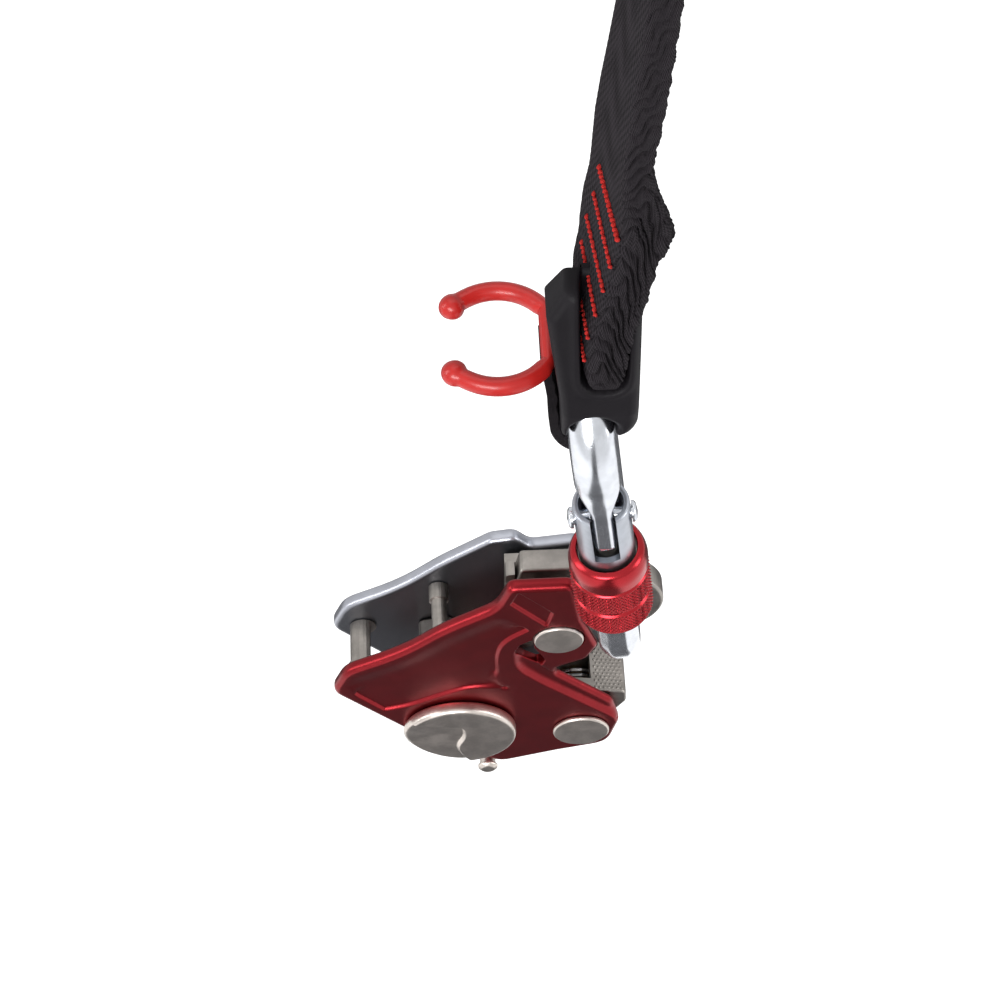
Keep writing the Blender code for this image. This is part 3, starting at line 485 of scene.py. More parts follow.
def milled(rings, y0, y1, relief, back=None, rims=(1.2, 0.25), lines=(), fine=0.24, reach=1.5,
           pitch=1.1, back_rim=0.8):
    """Verts and faces of a plate between y0 and y1: see the cell above for the formula."""
    rings = [resample(r, 0.45) for r in rings]
    lo, hi = rings[0].min(0), rings[0].max(0)
    cloud = [lattice(lo, hi, pitch)]
    dense = lattice(lo, hi, fine)
    near = np.zeros(len(dense), bool)
    for line, closed in lines:
        near |= nearest(dense, line, closed)[0] < reach
    cloud.append(dense[near])
    for k, ring in enumerate(rings):
        rim = rims[0] if k == 0 else rims[1]
        tangent = np.roll(ring, -1, 0) - np.roll(ring, 1, 0)
        normal = np.stack([-tangent[:, 1], tangent[:, 0]], 1)
        normal /= np.maximum(np.hypot(*normal.T), 1e-9)[:, None]
        for share in (0.07, 0.2, 0.4, 0.65, 1.0, 1.4):
            for sign in (-1, 1):
                cloud.append(ring + normal * (sign * share * rim))
    points = np.concatenate(cloud)
    keep = inside(points, rings[0])
    gap = np.full(len(points), 9.0)
    for k, ring in enumerate(rings):
        if k:
            keep &= ~inside(points, ring)
        gap = np.minimum(gap, nearest(points, ring)[0])
    points = points[keep & (gap > 0.05)]
    edges, start = [], 0
    for ring in rings:
        n = len(ring)
        k = np.arange(n)
        edges += np.stack([start + k, start + (k + 1) % n], 1).tolist()
        start += n
    flat = np.concatenate(rings + [points])
    out = delaunay_2d_cdt([Vector(q) for q in flat.tolist()], edges, [], 0, 1e-5)
    p = np.array([tuple(v) for v in out[0]])
    tris = np.array(out[2])
    middle = p[tris].mean(1)
    keep = inside(middle, rings[0])
    for ring in rings[1:]:
        keep &= ~inside(middle, ring)
    tris = tris[keep]
    drop = np.zeros(len(p))
    for k, ring in enumerate(rings):
        rim = rims[0] if k == 0 else rims[1]
        d = np.minimum(nearest(p, ring)[0], rim)
        drop = np.maximum(drop, rim - np.sqrt(np.maximum(rim ** 2 - (rim - d) ** 2, 0)))
    front = y0 - relief(p) + drop
    rear = (np.full(len(p), y1) if back is None else back(p)) - drop * back_rim
    n = len(p)
    edge = np.concatenate([tris[:, [0, 1]], tris[:, [1, 2]], tris[:, [2, 0]]])
    key = np.sort(edge, 1) @ np.array([n, 1])
    _, first, count = np.unique(key, return_index=True, return_counts=True)
    rim_edges = edge[first[count == 1]]
    faces = (tris.tolist() + (tris[:, ::-1] + n).tolist()
             + np.stack([rim_edges[:, 1], rim_edges[:, 0], rim_edges[:, 0] + n,
                         rim_edges[:, 1] + n], 1).tolist())
    verts = np.concatenate([np.stack([p[:, 0], front, p[:, 1]], 1),
                            np.stack([p[:, 0], rear, p[:, 1]], 1)])
    return verts, faces


# %% [markdown]
# ## The front plate
# Its milled features, read from the photograph: a broad shallow field whose edge catches the
# light as a thin arch, a slanted four-sided recess near the top corner, a seat for the axle's
# cap, a window beside it and a bevel down to the jaw. They could be a bump in the material, but
# the plate is seen from close by, so they are real depth.

# %% Front plate
PLATE_OUT, PLATE_IN, GROOVE_Y = 11.0, 7.5, 9.0
FRONT = closed_round([
    (-37.4, -23.4, 5.0), (-33.8, -13.6, 9.0), (-20.0, -5.4, 60.0), (-9.6, 5.4, 60.0),
    (3.2, 15.0, 12.0), (6.2, 24.5, 2.6), (21.4, 24.7, 2.4), (23.9, 8.6, 5.0), (28.0, -4.6, 3.0),
    (25.4, -11.0, 3.0), (17.6, -15.4, 2.2), (18.6, -20.2, 2.0), (32.8, -36.2, 5.0),
    (34.8, -45.5, 6.0), (32.4, -57.2, 6.5), (19.0, -61.2, 8.0), (4.0, -66.6, 6.0),
    (-17.0, -49.0, 9.0)])
WINDOW = closed_round([(7.7, -6.6, 2.4), (9.0, -2.4, 0.8), (12.2, 0.0, 0.3), (12.5, -4.2, 1.0),
                       (14.4, -8.2, 1.0), (15.2, -10.2, 0.4), (14.6, -12.4, 0.6),
                       (13.4, -13.4, 0.5), (10.0, -10.4, 1.4)])
PANEL = closed_round([(8.4, 23.2, 0.5), (16.9, 12.7, 0.5), (15.5, 5.9, 0.7), (6.5, 17.6, 0.5)])
FIELD = closed_round([
    (-34.2, -20.0, 3.0), (-32.2, -24.7, 20.0), (-25.0, -34.2, 0.6), (-18.4, -32.2, 60.0),
    (-8.7, -26.2, 60.0), (-3.0, -23.4, 60.0), (5.6, -24.2, 0.8), (4.5, -18.0, 60.0),
    (3.5, -10.0, 60.0), (4.8, -1.2, 12.0), (11.4, 4.8, 0.8), (4.6, 13.4, 6.0),
    (-9.4, 2.4, 60.0), (-19.6, -8.0, 60.0), (-32.6, -15.8, 5.0)])
JAW = rounded([(8.6, -1.8, 0), (7.0, -6.0, 30.0), (7.6, -14.6, 60.0), (14.0, -22.6, 60.0),
               (33.6, -43.6, 0)])


def front_relief(p):
    """Sum of the milled features; + is towards the viewer, in millimetres.

    The broad field is a shallow pocket: -0.7 inside, with a wall 1 mm wide that turns into a
    long ramp at its lower right end. The jaw falls away in a broad bevel beyond its line.
    """
    d, _, _ = nearest(p, FIELD)
    d = np.where(inside(p, FIELD), d, -d)
    ramp = np.exp(-((p[:, 0] - 5.4) ** 2 + (p[:, 1] + 20.0) ** 2) / 3.2 ** 2)
    upper = step(p[:, 1] - 0.75 * p[:, 0] + 1.0, 3.0)
    out = -0.7 * step(d + 0.1, 1.0 + 6.0 * ramp + 4.5 * upper)
    d, _, _ = nearest(p, PANEL)
    d = np.where(inside(p, PANEL), d, -d)
    out += -0.7 * step(d + 0.1, 0.8)
    d, side, _ = nearest(p, JAW, False)
    out += -1.15 * step(side * d, 2.4) * step(6.2 - d, 1.0) * (p[:, 0] + p[:, 1] < 3.5 - 0.2 * d)
    r = np.hypot(p[:, 0] - AXLE[0], p[:, 1] - AXLE[1])
    out = np.where(r < 6.3, -1.0, out)
    r = np.hypot(p[:, 0] - 5.4, p[:, 1] + 24.0)
    return out - 0.45 * np.exp(-(r / 0.7) ** 2)


def front_back(p):
    """The back face with the groove that the axle's end runs in, open to the right."""
    z = p[:, 1]
    half = np.where(p[:, 0] > AXLE[0], np.inf, np.hypot(p[:, 0] - AXLE[0], z))
    groove = np.where(p[:, 0] > AXLE[0], (z < 7.6) & (z > -9.4), half < 6.35)
    return np.where(groove, -GROOVE_Y, -PLATE_IN)


t = np.linspace(math.pi / 2, 3 * math.pi / 2, 24)
GROOVE = np.vstack([[(34, 7.6)], np.stack([AXLE[0] + 6.35 * np.cos(t), 6.35 * np.sin(t)], 1),
                    [(34, -9.4)]])
verts, faces = milled(
    [FRONT, WINDOW, circle(*PIVOT, 3.72, 48), circle(*KNOB, 4.12, 48),
     circle(*STOP, 2.22, 32)], -PLATE_OUT, -PLATE_IN, front_relief, front_back, rims=(1.5, 0.3),
    lines=[(FIELD, True), (PANEL, True), (JAW, False), (circle(*AXLE, 6.3), True),
           (GROOVE, False)], fine=0.26, reach=1.4)
piece("front_plate_milled", verts, faces, red_plate, "cover", ("front_plate",))

# %% [markdown]
# ## Rear plate and arm
# Both are plain plates with well rounded rims, so they come from the same helper as the front
# plate, with no relief. The arm's eye takes the carabiner's bar.

# %% Rear plate and arm
REAR = closed_round([
    (-37.4, -23.4, 5.0), (-33.8, -13.6, 9.0), (-20.0, -5.4, 60.0), (-9.6, 5.4, 60.0),
    (2.6, 15.6, 4.0), (8.6, 16.6, 3.0), (12.4, 12.0, 3.0), (24.4, 13.8, 3.0),
    (26.0, 5.0, 4.0), (28.0, -4.6, 4.0), (29.6, -26.0, 6.0), (34.2, -42.0, 6.0),
    (32.4, -57.2, 6.5), (19.0, -61.2, 8.0), (4.0, -66.6, 6.0), (-17.0, -49.0, 9.0)])
# painted shade: the rear plate's inner face, between the two plates, is made darker
grey_with_painted_shade = anodised("grey_anodised_painted_shade", (0.36, 0.37, 0.41), 0.36, face=(PLATE_IN, 0.42))


def flat(p):
    """No relief."""
    return np.zeros(len(p))


verts, faces = milled([REAR, circle(*AXLE, 4.12, 48), circle(*PIVOT, 3.72, 48),
                       circle(-10.1, -4.2, 1.72, 24), circle(-29.4, -22.4, 1.72, 24),
                       circle(-11.2, -30.0, 2.12, 24), circle(10.6, -55.0, 1.72, 24)],
                      PLATE_IN, PLATE_OUT, flat, rims=(1.2, 0.25))
piece("rear_plate_milled", verts, faces, grey_with_painted_shade, "frame", ("rear_plate",))
EYE = (31.0, 2.4)
t = np.radians(np.linspace(78, -96, 40))
ARM = np.vstack([closed_round([(8.4, 14.0, 0.0), (9.4, 19.3, 1.2), (25.0, 19.3, 0.0),
                               (28.6, 17.7, 2.0)])[:-1],
                 np.stack([EYE[0] + 13 * np.cos(t), EYE[1] + 13 * np.sin(t)], 1),
                 [(24.0, -12.6), (12.0, -13.0), (8.4, -9.0)]])
verts, faces = milled([ARM, circle(*EYE, 7.3, 72), circle(*AXLE, 5.12, 56),
                       circle(10.9, 10.2, 1.42, 24), circle(10.9, -9.6, 1.42, 24)],
                      -3.0, 3.0, flat, rims=(0.8, 0.5))
piece("arm_forged", verts, faces, brushed_steel, "arm", ("arm",))

# %% [markdown]
# ## The knob
# A stainless disc with a thumb scoop. The scoop starts at an S-shaped edge and ramps
# on down to the rim at the lower left, where the thumb pushes.

# %% Knob
KNOB_R = 14.3
SCOOP = rounded([(-26.0, -34.6, 0), (-12.8, -36.6, 9.0), (-4.9, -38.4, 2.0), (-4.5, -43.5, 9.0),
                 (-6.8, -49.6, 9.0), (-4.8, -55.0, 9.0), (-1.6, -60.0, 0)], 12)


def scoop(p):
    """A wall 0.9 mm wide down to a floor that goes on sinking away from the edge."""
    d, side, _ = nearest(p, SCOOP, False)
    d = -side * d
    return -(0.9 + 1.1 * step(d, 14.0)) * step(d + 0.1, 0.9)


verts, faces = milled([circle(*KNOB, KNOB_R, 160)], -14.7, -11.3, scoop, rims=(1.1, 0.3),
                      lines=[(SCOOP, False)], fine=0.26, reach=1.6, pitch=0.8)
piece("knob_turned", verts, faces, tumbled_steel("knob_steel", TURNED, 0.36, centre=KNOB), "knob",
      ("knob",))

# %% [markdown]
# ## The carabiner
# Its loop lies in a plane that leans 6.2 degrees to the left. `on` gives a point of it: x square
# to the plane, y towards the spine, z up. The body is a round bar carried along the loop; it
# turns eight-sided at the nose and narrows to a flat tongue between the gate's cheeks.

# %% Carabiner frame
LEAN, YAW = math.radians(6.2), math.radians(1.2)
level = np.array((math.cos(YAW), math.sin(YAW), 0.0))
e_y = np.array((-math.sin(YAW), math.cos(YAW), 0.0))
e_x = level * math.cos(LEAN) + np.array((0, 0, math.sin(LEAN)))
e_z = np.array((0, 0, math.cos(LEAN))) - level * math.sin(LEAN)
BAR = np.array((32.4, 0.0, 3.8))
HALF_Y, BEND, NOSE, CROWN, HINGE = 18.5, 13.0, 26.0, 82.0, 65.6


def on(x, y, z):
    """Points of the carabiner's own frame in the part's frame."""
    x, y, z = (np.asarray(c, float)[..., None] for c in (x, y, z))
    return BAR + x * e_x + y * e_y + z * e_z


def tube(path, side, widths, heights, seg=48, power=None, facets=None):
    """Rings round a flat path: |a/w|^n + |b/h|^n = 1, with a along side and b across the path."""
    tangent = np.gradient(path, axis=0)
    tangent /= np.linalg.norm(tangent, axis=1)[:, None]
    across = np.cross(tangent, side)
    t = np.linspace(0, 2 * math.pi, seg, endpoint=False)
    c, s = np.cos(t)[None, :], np.sin(t)[None, :]
    n = np.full(len(path), 2.0) if power is None else power
    r = (np.abs(c) ** n[:, None] + np.abs(s) ** n[:, None]) ** (-1 / n[:, None])
    if facets is not None:
        turn = (t - math.pi / 8) % (math.pi / 4) - math.pi / 8
        flat = np.cos(math.pi / 8) / np.cos(turn) * 1.035
        r = r * (1 + facets[:, None] * (np.minimum(flat, 1.0)[None, :] - 1))
    a, b = r * c * widths[:, None], r * s * heights[:, None]
    verts = path[:, None] + a[..., None] * side + b[..., None] * across[:, None]
    faces = grid_faces(len(path), seg, False, True).tolist()
    last = (len(path) - 1) * seg
    faces += [list(range(seg)), list(range(last + seg - 1, last - 1, -1))]
    return verts.reshape(-1, 3), faces


# %% Carabiner body
k0 = HALF_Y - BEND
a90 = np.radians(np.linspace(0, 90, 28))
flat_loop = np.vstack([
    np.stack([np.full(14, -HALF_Y), np.linspace(NOSE, BEND, 14)], 1),
    np.stack([-k0 - BEND * np.cos(a90[1:]), BEND - BEND * np.sin(a90[1:])], 1),
    np.stack([k0 + BEND * np.sin(a90), BEND - BEND * np.cos(a90)], 1),
    np.stack([np.full(30, HALF_Y), np.linspace(BEND, CROWN, 32)[1:-1]], 1),
    np.stack([HALF_Y * np.cos(2 * a90), CROWN + HALF_Y * np.sin(2 * a90)], 1),
    np.stack([np.full(36, -HALF_Y), np.linspace(CROWN, HINGE - 9.4, 37)[1:]], 1)])
path = on(0, flat_loop[:, 0], flat_loop[:, 1])
z = flat_loop[:, 1]
gate_side = (np.arange(len(z)) > len(z) - 37) & (z < CROWN)
first = np.arange(len(z)) < 30
neck = np.where(gate_side, step(HINGE + 14.2 - z, 7.6), 0.0)
tail = np.where(gate_side, step(HINGE - 5.6 - z, 3.8), 0.0)
width = 5.0 - 2.45 * neck
height = 5.0 + 0.55 * neck - 2.4 * tail
power = 2.0 + 2.0 * neck
facets = np.where(first, step(30.0 - np.arange(len(z)), 14.0), 0.0)
blunt = np.minimum(1.0, 0.72 + 0.28 * np.sqrt(np.clip(np.arange(len(z)) / 2.0, 0, 1)))
verts, faces = tube(path, e_x, width * blunt, height * blunt, 64, power, facets)
piece("carabiner_body_forged", verts, faces, zinc, "carabiner",
      ("carabiner_body",), sharp=28.0)

# %% [markdown]
# ## Gate, pin and sleeve
# The gate is a tube with a slot cut through its top for the tongue. The sleeve screws down over
# the nose: a smooth collar, then two knurled bands with a turned groove between. The knurl is
# two crossed sets of threads: relief = depth * min(|sin(n t + p h)|, |sin(n t - p h)|).

# %% Gate tube
GATE_TOP, PIN_R = 70.5, 1.72
profile = rounded([(5.65, NOSE + 0.4, 0), (6.15, NOSE + 1.2, 0.4), (6.15, GATE_TOP, 0.5),
                   (4.85, GATE_TOP, 0.3), (4.75, HINGE - 15.0, 0), (4.0, HINGE - 15.0, 0),
                   (4.0, NOSE + 3.4, 0), (1.6, NOSE + 3.4, 0), (1.6, NOSE + 0.4, 0)])
verts, faces = revolve(profile, on(0, -HALF_Y, 0), e_z, 96)
gate = piece("gate_tube_drawn", verts, faces, satin_zinc, "gate", ("gate_tube",))


def boolean(target, tool_verts, tool_faces):
    """Cut a closed shape out of a piece and keep the result in its mesh."""
    mesh = bpy.data.meshes.new("cutter")
    mesh.from_pydata((np.asarray(tool_verts) * MM).tolist(), [], tool_faces)
    bm = bmesh.new()
    bm.from_mesh(mesh)
    bmesh.ops.remove_doubles(bm, verts=bm.verts, dist=2e-6)
    bmesh.ops.recalc_face_normals(bm, faces=bm.faces)
    bm.to_mesh(mesh)
    bm.free()
    tool = bpy.data.objects.new("cutter", mesh)
    bpy.context.scene.collection.objects.link(tool)
    cut = target.modifiers.new("cut", "BOOLEAN")
    cut.operation, cut.solver, cut.object = "DIFFERENCE", "EXACT", tool
    bpy.context.view_layer.update()
    made = bpy.data.meshes.new_from_object(
        target.evaluated_get(bpy.context.evaluated_depsgraph_get()))
    target.modifiers.clear()
    target.data = made
    made.shade_smooth()
    made.set_sharp_from_angle(angle=math.radians(35))
    bpy.data.objects.remove(tool)


SLOT = 2.75
corners = on([-SLOT, -SLOT, -SLOT, -SLOT, SLOT, SLOT, SLOT, SLOT],
             [-40, -40, 3, 3, -40, -40, 3, 3],
             [HINGE - 10.2, HINGE + 30, HINGE - 10.2, HINGE + 30] * 2)
boolean(gate, corners, [[0, 1, 3, 2], [4, 6, 7, 5], [0, 4, 5, 1], [2, 3, 7, 6], [0, 2, 6, 4],
                        [1, 5, 7, 3]])
print("gate", len(gate.data.polygons), "faces")

# %% Gate pin
profile = rounded([(0, -7.6, 0), (1.9, -7.3, 0.8), (2.35, -6.9, 0.4), (2.35, -6.3, 0),
                   (PIN_R - 0.12, -6.3, 0), (PIN_R - 0.12, 6.3, 0), (2.35, 6.3, 0),
                   (2.35, 6.9, 0.4), (1.9, 7.3, 0.8), (0, 7.6, 0)])
verts, faces = revolve(profile, on(0, -HALF_Y, HINGE), e_x, 40)
piece("gate_pin_headed", verts, faces, zinc, "carabiner", ("gate_pin",))

# %% Lock sleeve
LOW, BAND_R = 27.2, 8.72
BANDS = ((0.7, 7.9), (9.7, 17.0))
outer = rounded([(7.0, 0.0, 0), (8.0, 0.0, 0.2), (BAND_R, 0.7, 0.4), (BAND_R, 7.9, 0.3),
                 (8.15, 8.35, 0.5), (8.15, 9.2, 0.5), (BAND_R, 9.7, 0.3),
                 (BAND_R, 17.0, 0.3),
                 (8.2, 17.5, 0.4), (8.8, 18.6, 0.8), (8.85, 22.0, 9.0), (8.1, 24.5, 9.0),
                 (6.8, 25.2, 1.0), (6.6, 24.6, 0.3), (6.6, 23.4, 0.2), (7.0, 23.2, 0.2),
                 (7.0, 0.0, 0)], 7)
heights = [outer[0]]
for a, b in zip(outer, outer[1:]):
    on_band = max(abs(a[0] - BAND_R), abs(b[0] - BAND_R)) < 0.12 and abs(b[1] - a[1]) > 3
    n = 46 if on_band else 1
    heights += [a + (b - a) * (k + 1) / n for k in range(n)]
profile = np.array(heights)
TEETH, THREAD, DEPTH = 33, 2.3, 0.52


def knurl(h, angle):
    """Two crossed sets of fine threads on both bands, fading out at their ends."""
    u, v = np.sin(TEETH * angle + THREAD * h), np.sin(TEETH * angle - THREAD * h)
    teeth = DEPTH * np.minimum(np.abs(u), np.abs(v)) - DEPTH / 2
    mask = sum(step(h - low, 0.5) * step(high - h, 0.5) for low, high in BANDS)
    return np.where(profile[:, :1] > 8.4, mask * teeth, 0.0)


verts, faces = revolve(profile, on(0, -HALF_Y, LOW), e_z, 504, knurl)
piece("lock_sleeve_knurled", verts, faces, red_sleeve, "sleeve",
      ("lock_sleeve",), sharp=60.0)

# %% [markdown]
# ## The rope clip
# A snap ring of red plastic: a round rod bent to an open circle, flattened where it lies
# against the keeper, with a ball on each end.

# %% Rope clip
crown = on(0, 0, CROWN + HALF_Y)
CX, CY, CZ = crown[0] - 17.35, 1.0, crown[2] + 3.3
open_at = math.atan2(6.3, -10.8)
t = np.linspace(open_at, -open_at, 161)
far = np.clip((np.abs(t) - math.radians(118)) / (open_at - math.radians(118)), 0, 1)
r = 12.0 + 0.5 * far ** 1.5
x = CX + r * np.cos(t)
flat = CX + 10.0
path = np.stack([np.minimum(x, flat), CY + r * np.sin(t), np.full(len(t), CZ)], 1)
at_flat = step(x - flat + 1.2, 1.2)
length = np.concatenate([[0], np.cumsum(np.linalg.norm(np.diff(path, axis=0), axis=1))])
end = np.minimum(length, length[-1] - length)
ball = np.sqrt(np.clip(2.7 ** 2 - (end - 2.7) ** 2, 0.02, None))
rod_w = 1.9 - 0.5 * at_flat
half_w = np.where(end < 2.7, ball, np.maximum(np.where(end < 5.4, ball, 0), rod_w))
half_h = np.where(end < 2.7, ball, np.maximum(np.where(end < 5.4, ball, 0), 2.2))
verts, faces = tube(path, np.array((0, 0, 1.0)), half_h, half_w, 28)
piece("rope_clip_moulded", verts, faces, clip_red, "carabiner", ("rope_clip",),
      sharp=60.0)

# %% [markdown]
# ## The rubber keeper
# A moulded saddle over the front of the carabiner's top. It is made like a plate, with a wide
# soft rim: its face slopes back towards the top, and a deep pocket holds the webbing.

# %% Rubber keeper
X0, Z0 = crown[0], crown[2]
KEEPER = closed_round([
    (X0 - 5.2, Z0 - 5.2, 2.2), (X0 - 5.7, Z0 + 6.0, 9.0), (X0 - 8.5, Z0 + 26.6, 2.0),
    (X0 - 4.8, Z0 + 32.6, 1.4), (X0 + 10.2, Z0 + 32.6, 3.0), (X0 + 10.3, Z0 - 2.0, 8.0),
    (X0 + 8.8, Z0 - 5.0, 4.0), (X0 + 5.7, Z0 - 6.8, 1.4), (X0 + 6.2, Z0 - 2.0, 3.6),
    (X0 + 1.3, Z0 + 1.6, 5.0), (X0 - 3.4, Z0 - 2.0, 3.6), (X0 - 3.8, Z0 - 5.8, 1.2)], 10)
POCKET = closed_round([(X0 - 1.45, Z0 + 8.6, 4.4), (X0 + 7.65, Z0 + 8.6, 4.4),
                       (X0 + 7.65, Z0 + 40, 1.0), (X0 - 2.3, Z0 + 40, 1.0)])

POCKET_DEPTH = 13.4


def keeper_face(p):
    """Height over the front face: a slope that sinks towards the top, a lip and the pocket."""
    slope = -8.4 * np.clip((p[:, 1] - (Z0 + 2.3)) / 32.5, 0, 1) ** 1.15
    d, _, _ = nearest(p, POCKET)
    d = np.where(inside(p, POCKET), d, -d)
    lip = 0.35 * np.exp(-((d + 1.0) / 0.9) ** 2)
    t = step(d + 0.25, 0.9)
    return (slope + lip) * (1 - t) - POCKET_DEPTH * t


verts, faces = milled([KEEPER], -18.5, -3.7, keeper_face, rims=(2.0, 0.5), lines=[(POCKET, True)],
                      fine=0.3, reach=1.6, pitch=0.6, back_rim=0.2)
piece("rubber_keeper_moulded", verts, faces, rubber, "carabiner",
      ("rubber_keeper",), sharp=70.0)

# %% [markdown]
# ## The webbing
# Elastic tube webbing, doubled and sewn: at the left a flat woven face, to the right the tube's
# crowded folds. One closed tube carries it from the keeper's pocket up to the sewn eye. A cloth
# solver could fold it, but would give no control over where the folds lie. So its ring at each
# height is a soft-cornered box, and the folds are a wave of height whose crests run down the
# sides and meet in the middle like nested arches: relief = crest(h + bow(x - peak) + wobble).

# %% Webbing body
# height over the crown, then X of the front face's left and right edges, X of the back face's
# left edge, thickness at the back, Y of the front and of the back, X where the folds peak
LANE = np.array([
    (8.3, 1.6, 4.2, 0.6, 5.0, -15.4, 1.5, 2.6), (9.6, -0.4, 5.8, 0.0, 6.5, -17.0, 2.5, 2.4),
    (12.5, -1.2, 6.6, -0.4, 7.2, -17.2, 3.6, 2.3), (19.0, -1.4, 7.4, -0.4, 7.6, -16.4, 6.0, 1.9),
    (25.4, -0.7, 8.4, -0.3, 7.6, -15.6, 8.6, 2.0), (31.7, 0.8, 9.8, -0.4, 7.6, -14.8, 10.4, 3.2),
    (38.2, 2.1, 10.8, 0.2, 6.8, -14.0, 12.0, 4.9), (44.5, 3.2, 12.0, 1.2, 6.2, -13.3, 12.4, 5.8),
    (48.0, 3.8, 13.8, 1.4, 6.2, -12.9, 12.5, 6.2), (51.5, 4.2, 14.7, 1.5, 6.2, -12.7, 12.6, 6.6),
    (60.0, 4.1, 11.1, 1.8, 6.0, -12.5, 12.6, 7.9), (68.9, 3.9, 8.9, 2.6, 5.4, -12.5, 12.6, 9.2),
    (78.0, 4.1, 10.0, 3.6, 5.3, -12.5, 12.6, 10.4), (88.0, 4.5, 10.9, 4.6, 5.3, -12.4, 12.6, 10.9),
    (107.0, 5.5, 11.8, 5.8, 5.3, -12.4, 12.6, 11.8),
    (136.0, 7.0, 12.6, 7.0, 5.6, -12.3, 12.6, 12.6)])
FOLD_PITCH, RIB_PITCH, SCALLOP_PITCH = 4.1, 1.9, 6.4
h = np.linspace(LANE[0, 0], LANE[-1, 0], 620)
fl, fr, bl, deep, front_y, back_y, peak = (np.interp(h, LANE[:, 0], LANE[:, k])[:, None]
                                           for k in range(1, 8))
fl, fr = fl + 0.6, fr + 0.5
bl = bl - 0.9 - 1.2 * step(h[:, None] - 6.0, 6.0) * step(31.0 - h[:, None], 9.0)
hh = h[:, None]
t = np.linspace(0, 2 * math.pi, 301)[None, :-1]
c, s_ = np.cos(t), np.sin(t)
r = (np.abs(c) ** 8 + np.abs(s_) ** 8) ** (-1 / 8)
a, b = (r * c + 1) / 2, (r * s_ + 1) / 2
X = (fl + (fr - fl) * a) * (1 - b) + (bl + deep * a) * b
Y = front_y + (back_y - front_y) * b
q = np.where(s_ < -0.7, X - peak, np.where(c > 0, fr - peak + (Y - front_y),
                                           fl - peak - (Y - front_y)))
bow = np.sqrt(q * q + 1.7) - 1.3
drop = np.where(q < 0, 2.0 * bow, 1.7 * bow + 0.3 * np.clip(q, 0, 5) ** 2)
drop = drop + 0.9 * np.sin(0.55 * hh + 1.3 * q) + 0.6 * np.sin(0.31 * hh - 1.9 * q + 1.0)
wander = 0.7 * np.sin(hh * 0.21) + 0.35 * np.sin(hh * 0.67 + q)
phase = 2 * math.pi * (hh + drop + wander) / FOLD_PITCH
folds = step(q - (fl - peak) + 1.2, 1.6)
folds = folds * step(hh - 9.5, 3.0) * (1 - 0.55 * step(hh - 62.0, 26.0)) * step(150.0 - hh, 20.0)
crest = np.abs(np.sin(phase / 2)) ** 0.65
beads = 0.16 * np.sin(phase * 2.0 + q * 4.2)
relief = folds * (1.5 * (crest - 0.62) + beads)
ribs = (1 - folds) * 0.12 * np.sin(2 * math.pi * (hh - 0.9 * Y) / RIB_PITCH)
scallop = (0.55 * np.clip(a * 2 - 1, 0, 1) ** 3 * step(hh - 20, 20.0)
           * np.abs(np.sin(math.pi * (hh + 1.4) / SCALLOP_PITCH)))
grow = relief + ribs
X = X + (a * 2 - 1) * np.abs(c) ** 2 * grow + scallop
Y = Y + (b * 2 - 1) * np.abs(s_) ** 2 * grow
Z = hh + 0 * X
verts = np.stack([X + X0, Y, Z + Z0], -1).reshape(-1, 3)
seg = t.shape[1]
around = np.broadcast_to(t / (2 * math.pi) * 64.0, X.shape)
faces = grid_faces(len(h), seg, False, True).tolist()
faces += [list(range(seg)), list(range(len(h) * seg - 1, (len(h) - 1) * seg - 1, -1))]
piece("webbing_sewn", verts, faces, webbing_cloth, "carabiner", ("webbing",),
      uv=np.stack([around, np.broadcast_to(Z, X.shape)], -1).reshape(-1, 2), sharp=80.0)


def web_left(share, height):
    """A point on the webbing's left face: share 0 at its back edge, 1 at its front edge."""
    at = [float(np.interp(height, h, v[:, 0])) for v in (fl, bl, front_y, back_y)]
    return (X0 + at[1] + (at[0] - at[1]) * share - 0.12, at[3] + (at[2] - at[3]) * share,
            Z0 + height)


# %% Webbing loops: the lower eye round the crown and the upper sewn eye
def band(name, middle, front, back, thick=1.9):
    """A band along a flat path, its width along Y, with a rib across it every 1.5 mm.

    middle: rows of (x, z, drop); front and back are the Y of the band's two edges at each row.
    A row sinks by drop * (R - sqrt(R^2 - y^2)) to follow the carabiner's bend.
    """
    n, m = len(middle), 150
    run = np.gradient(middle[:, :2], axis=0)
    run /= np.linalg.norm(run, axis=1)[:, None]
    out = np.stack([run[:, 1], 0 * run[:, 0], -run[:, 0]], 1)
    line = np.stack([middle[:, 0], np.zeros(n), middle[:, 1]], 1)
    ring = np.vstack([line - out * thick / 2, (line + out * thick / 2)[::-1]])
    u = np.linspace(0, 1, m)
    y = front[:, None] + (back - front)[:, None] * u
    y = np.vstack([y, y[::-1]])
    step_long = np.hypot(*np.diff(middle[:, :2], axis=0).T)
    along = np.concatenate([[0], np.cumsum(step_long)])
    rib = 0.4 * np.abs(np.sin(math.pi * along / 1.5)) ** 0.7 - 0.25
    rib = np.concatenate([rib, rib[::-1]])[:, None] + 0 * y
    outward = np.vstack([-out, 0 * out])
    grid = ring[:, None] + outward[:, None] * rib[..., None]
    sag = np.concatenate([middle[:, 2], middle[::-1, 2]])[:, None]
    drop = sag * (HALF_Y - np.sqrt(HALF_Y ** 2 - np.minimum(np.abs(y), 17.5) ** 2))
    grid[..., 1] = y
    grid[..., 2] -= drop
    uv = np.stack([y, np.broadcast_to(np.arange(2 * n)[:, None] * 0.4, y.shape)], -1)
    faces = grid_faces(2 * n, m, True, False).tolist()
    side = [[i * m, (i + 1) * m, (2 * n - 2 - i) * m, (2 * n - 1 - i) * m] for i in range(n - 1)]
    faces += side + [[q + m - 1 for q in f[::-1]] for f in side]
    return piece(name, grid.reshape(-1, 3), faces, webbing_cloth, "carabiner",
                 uv=uv.reshape(-1, 2), sharp=50.0)


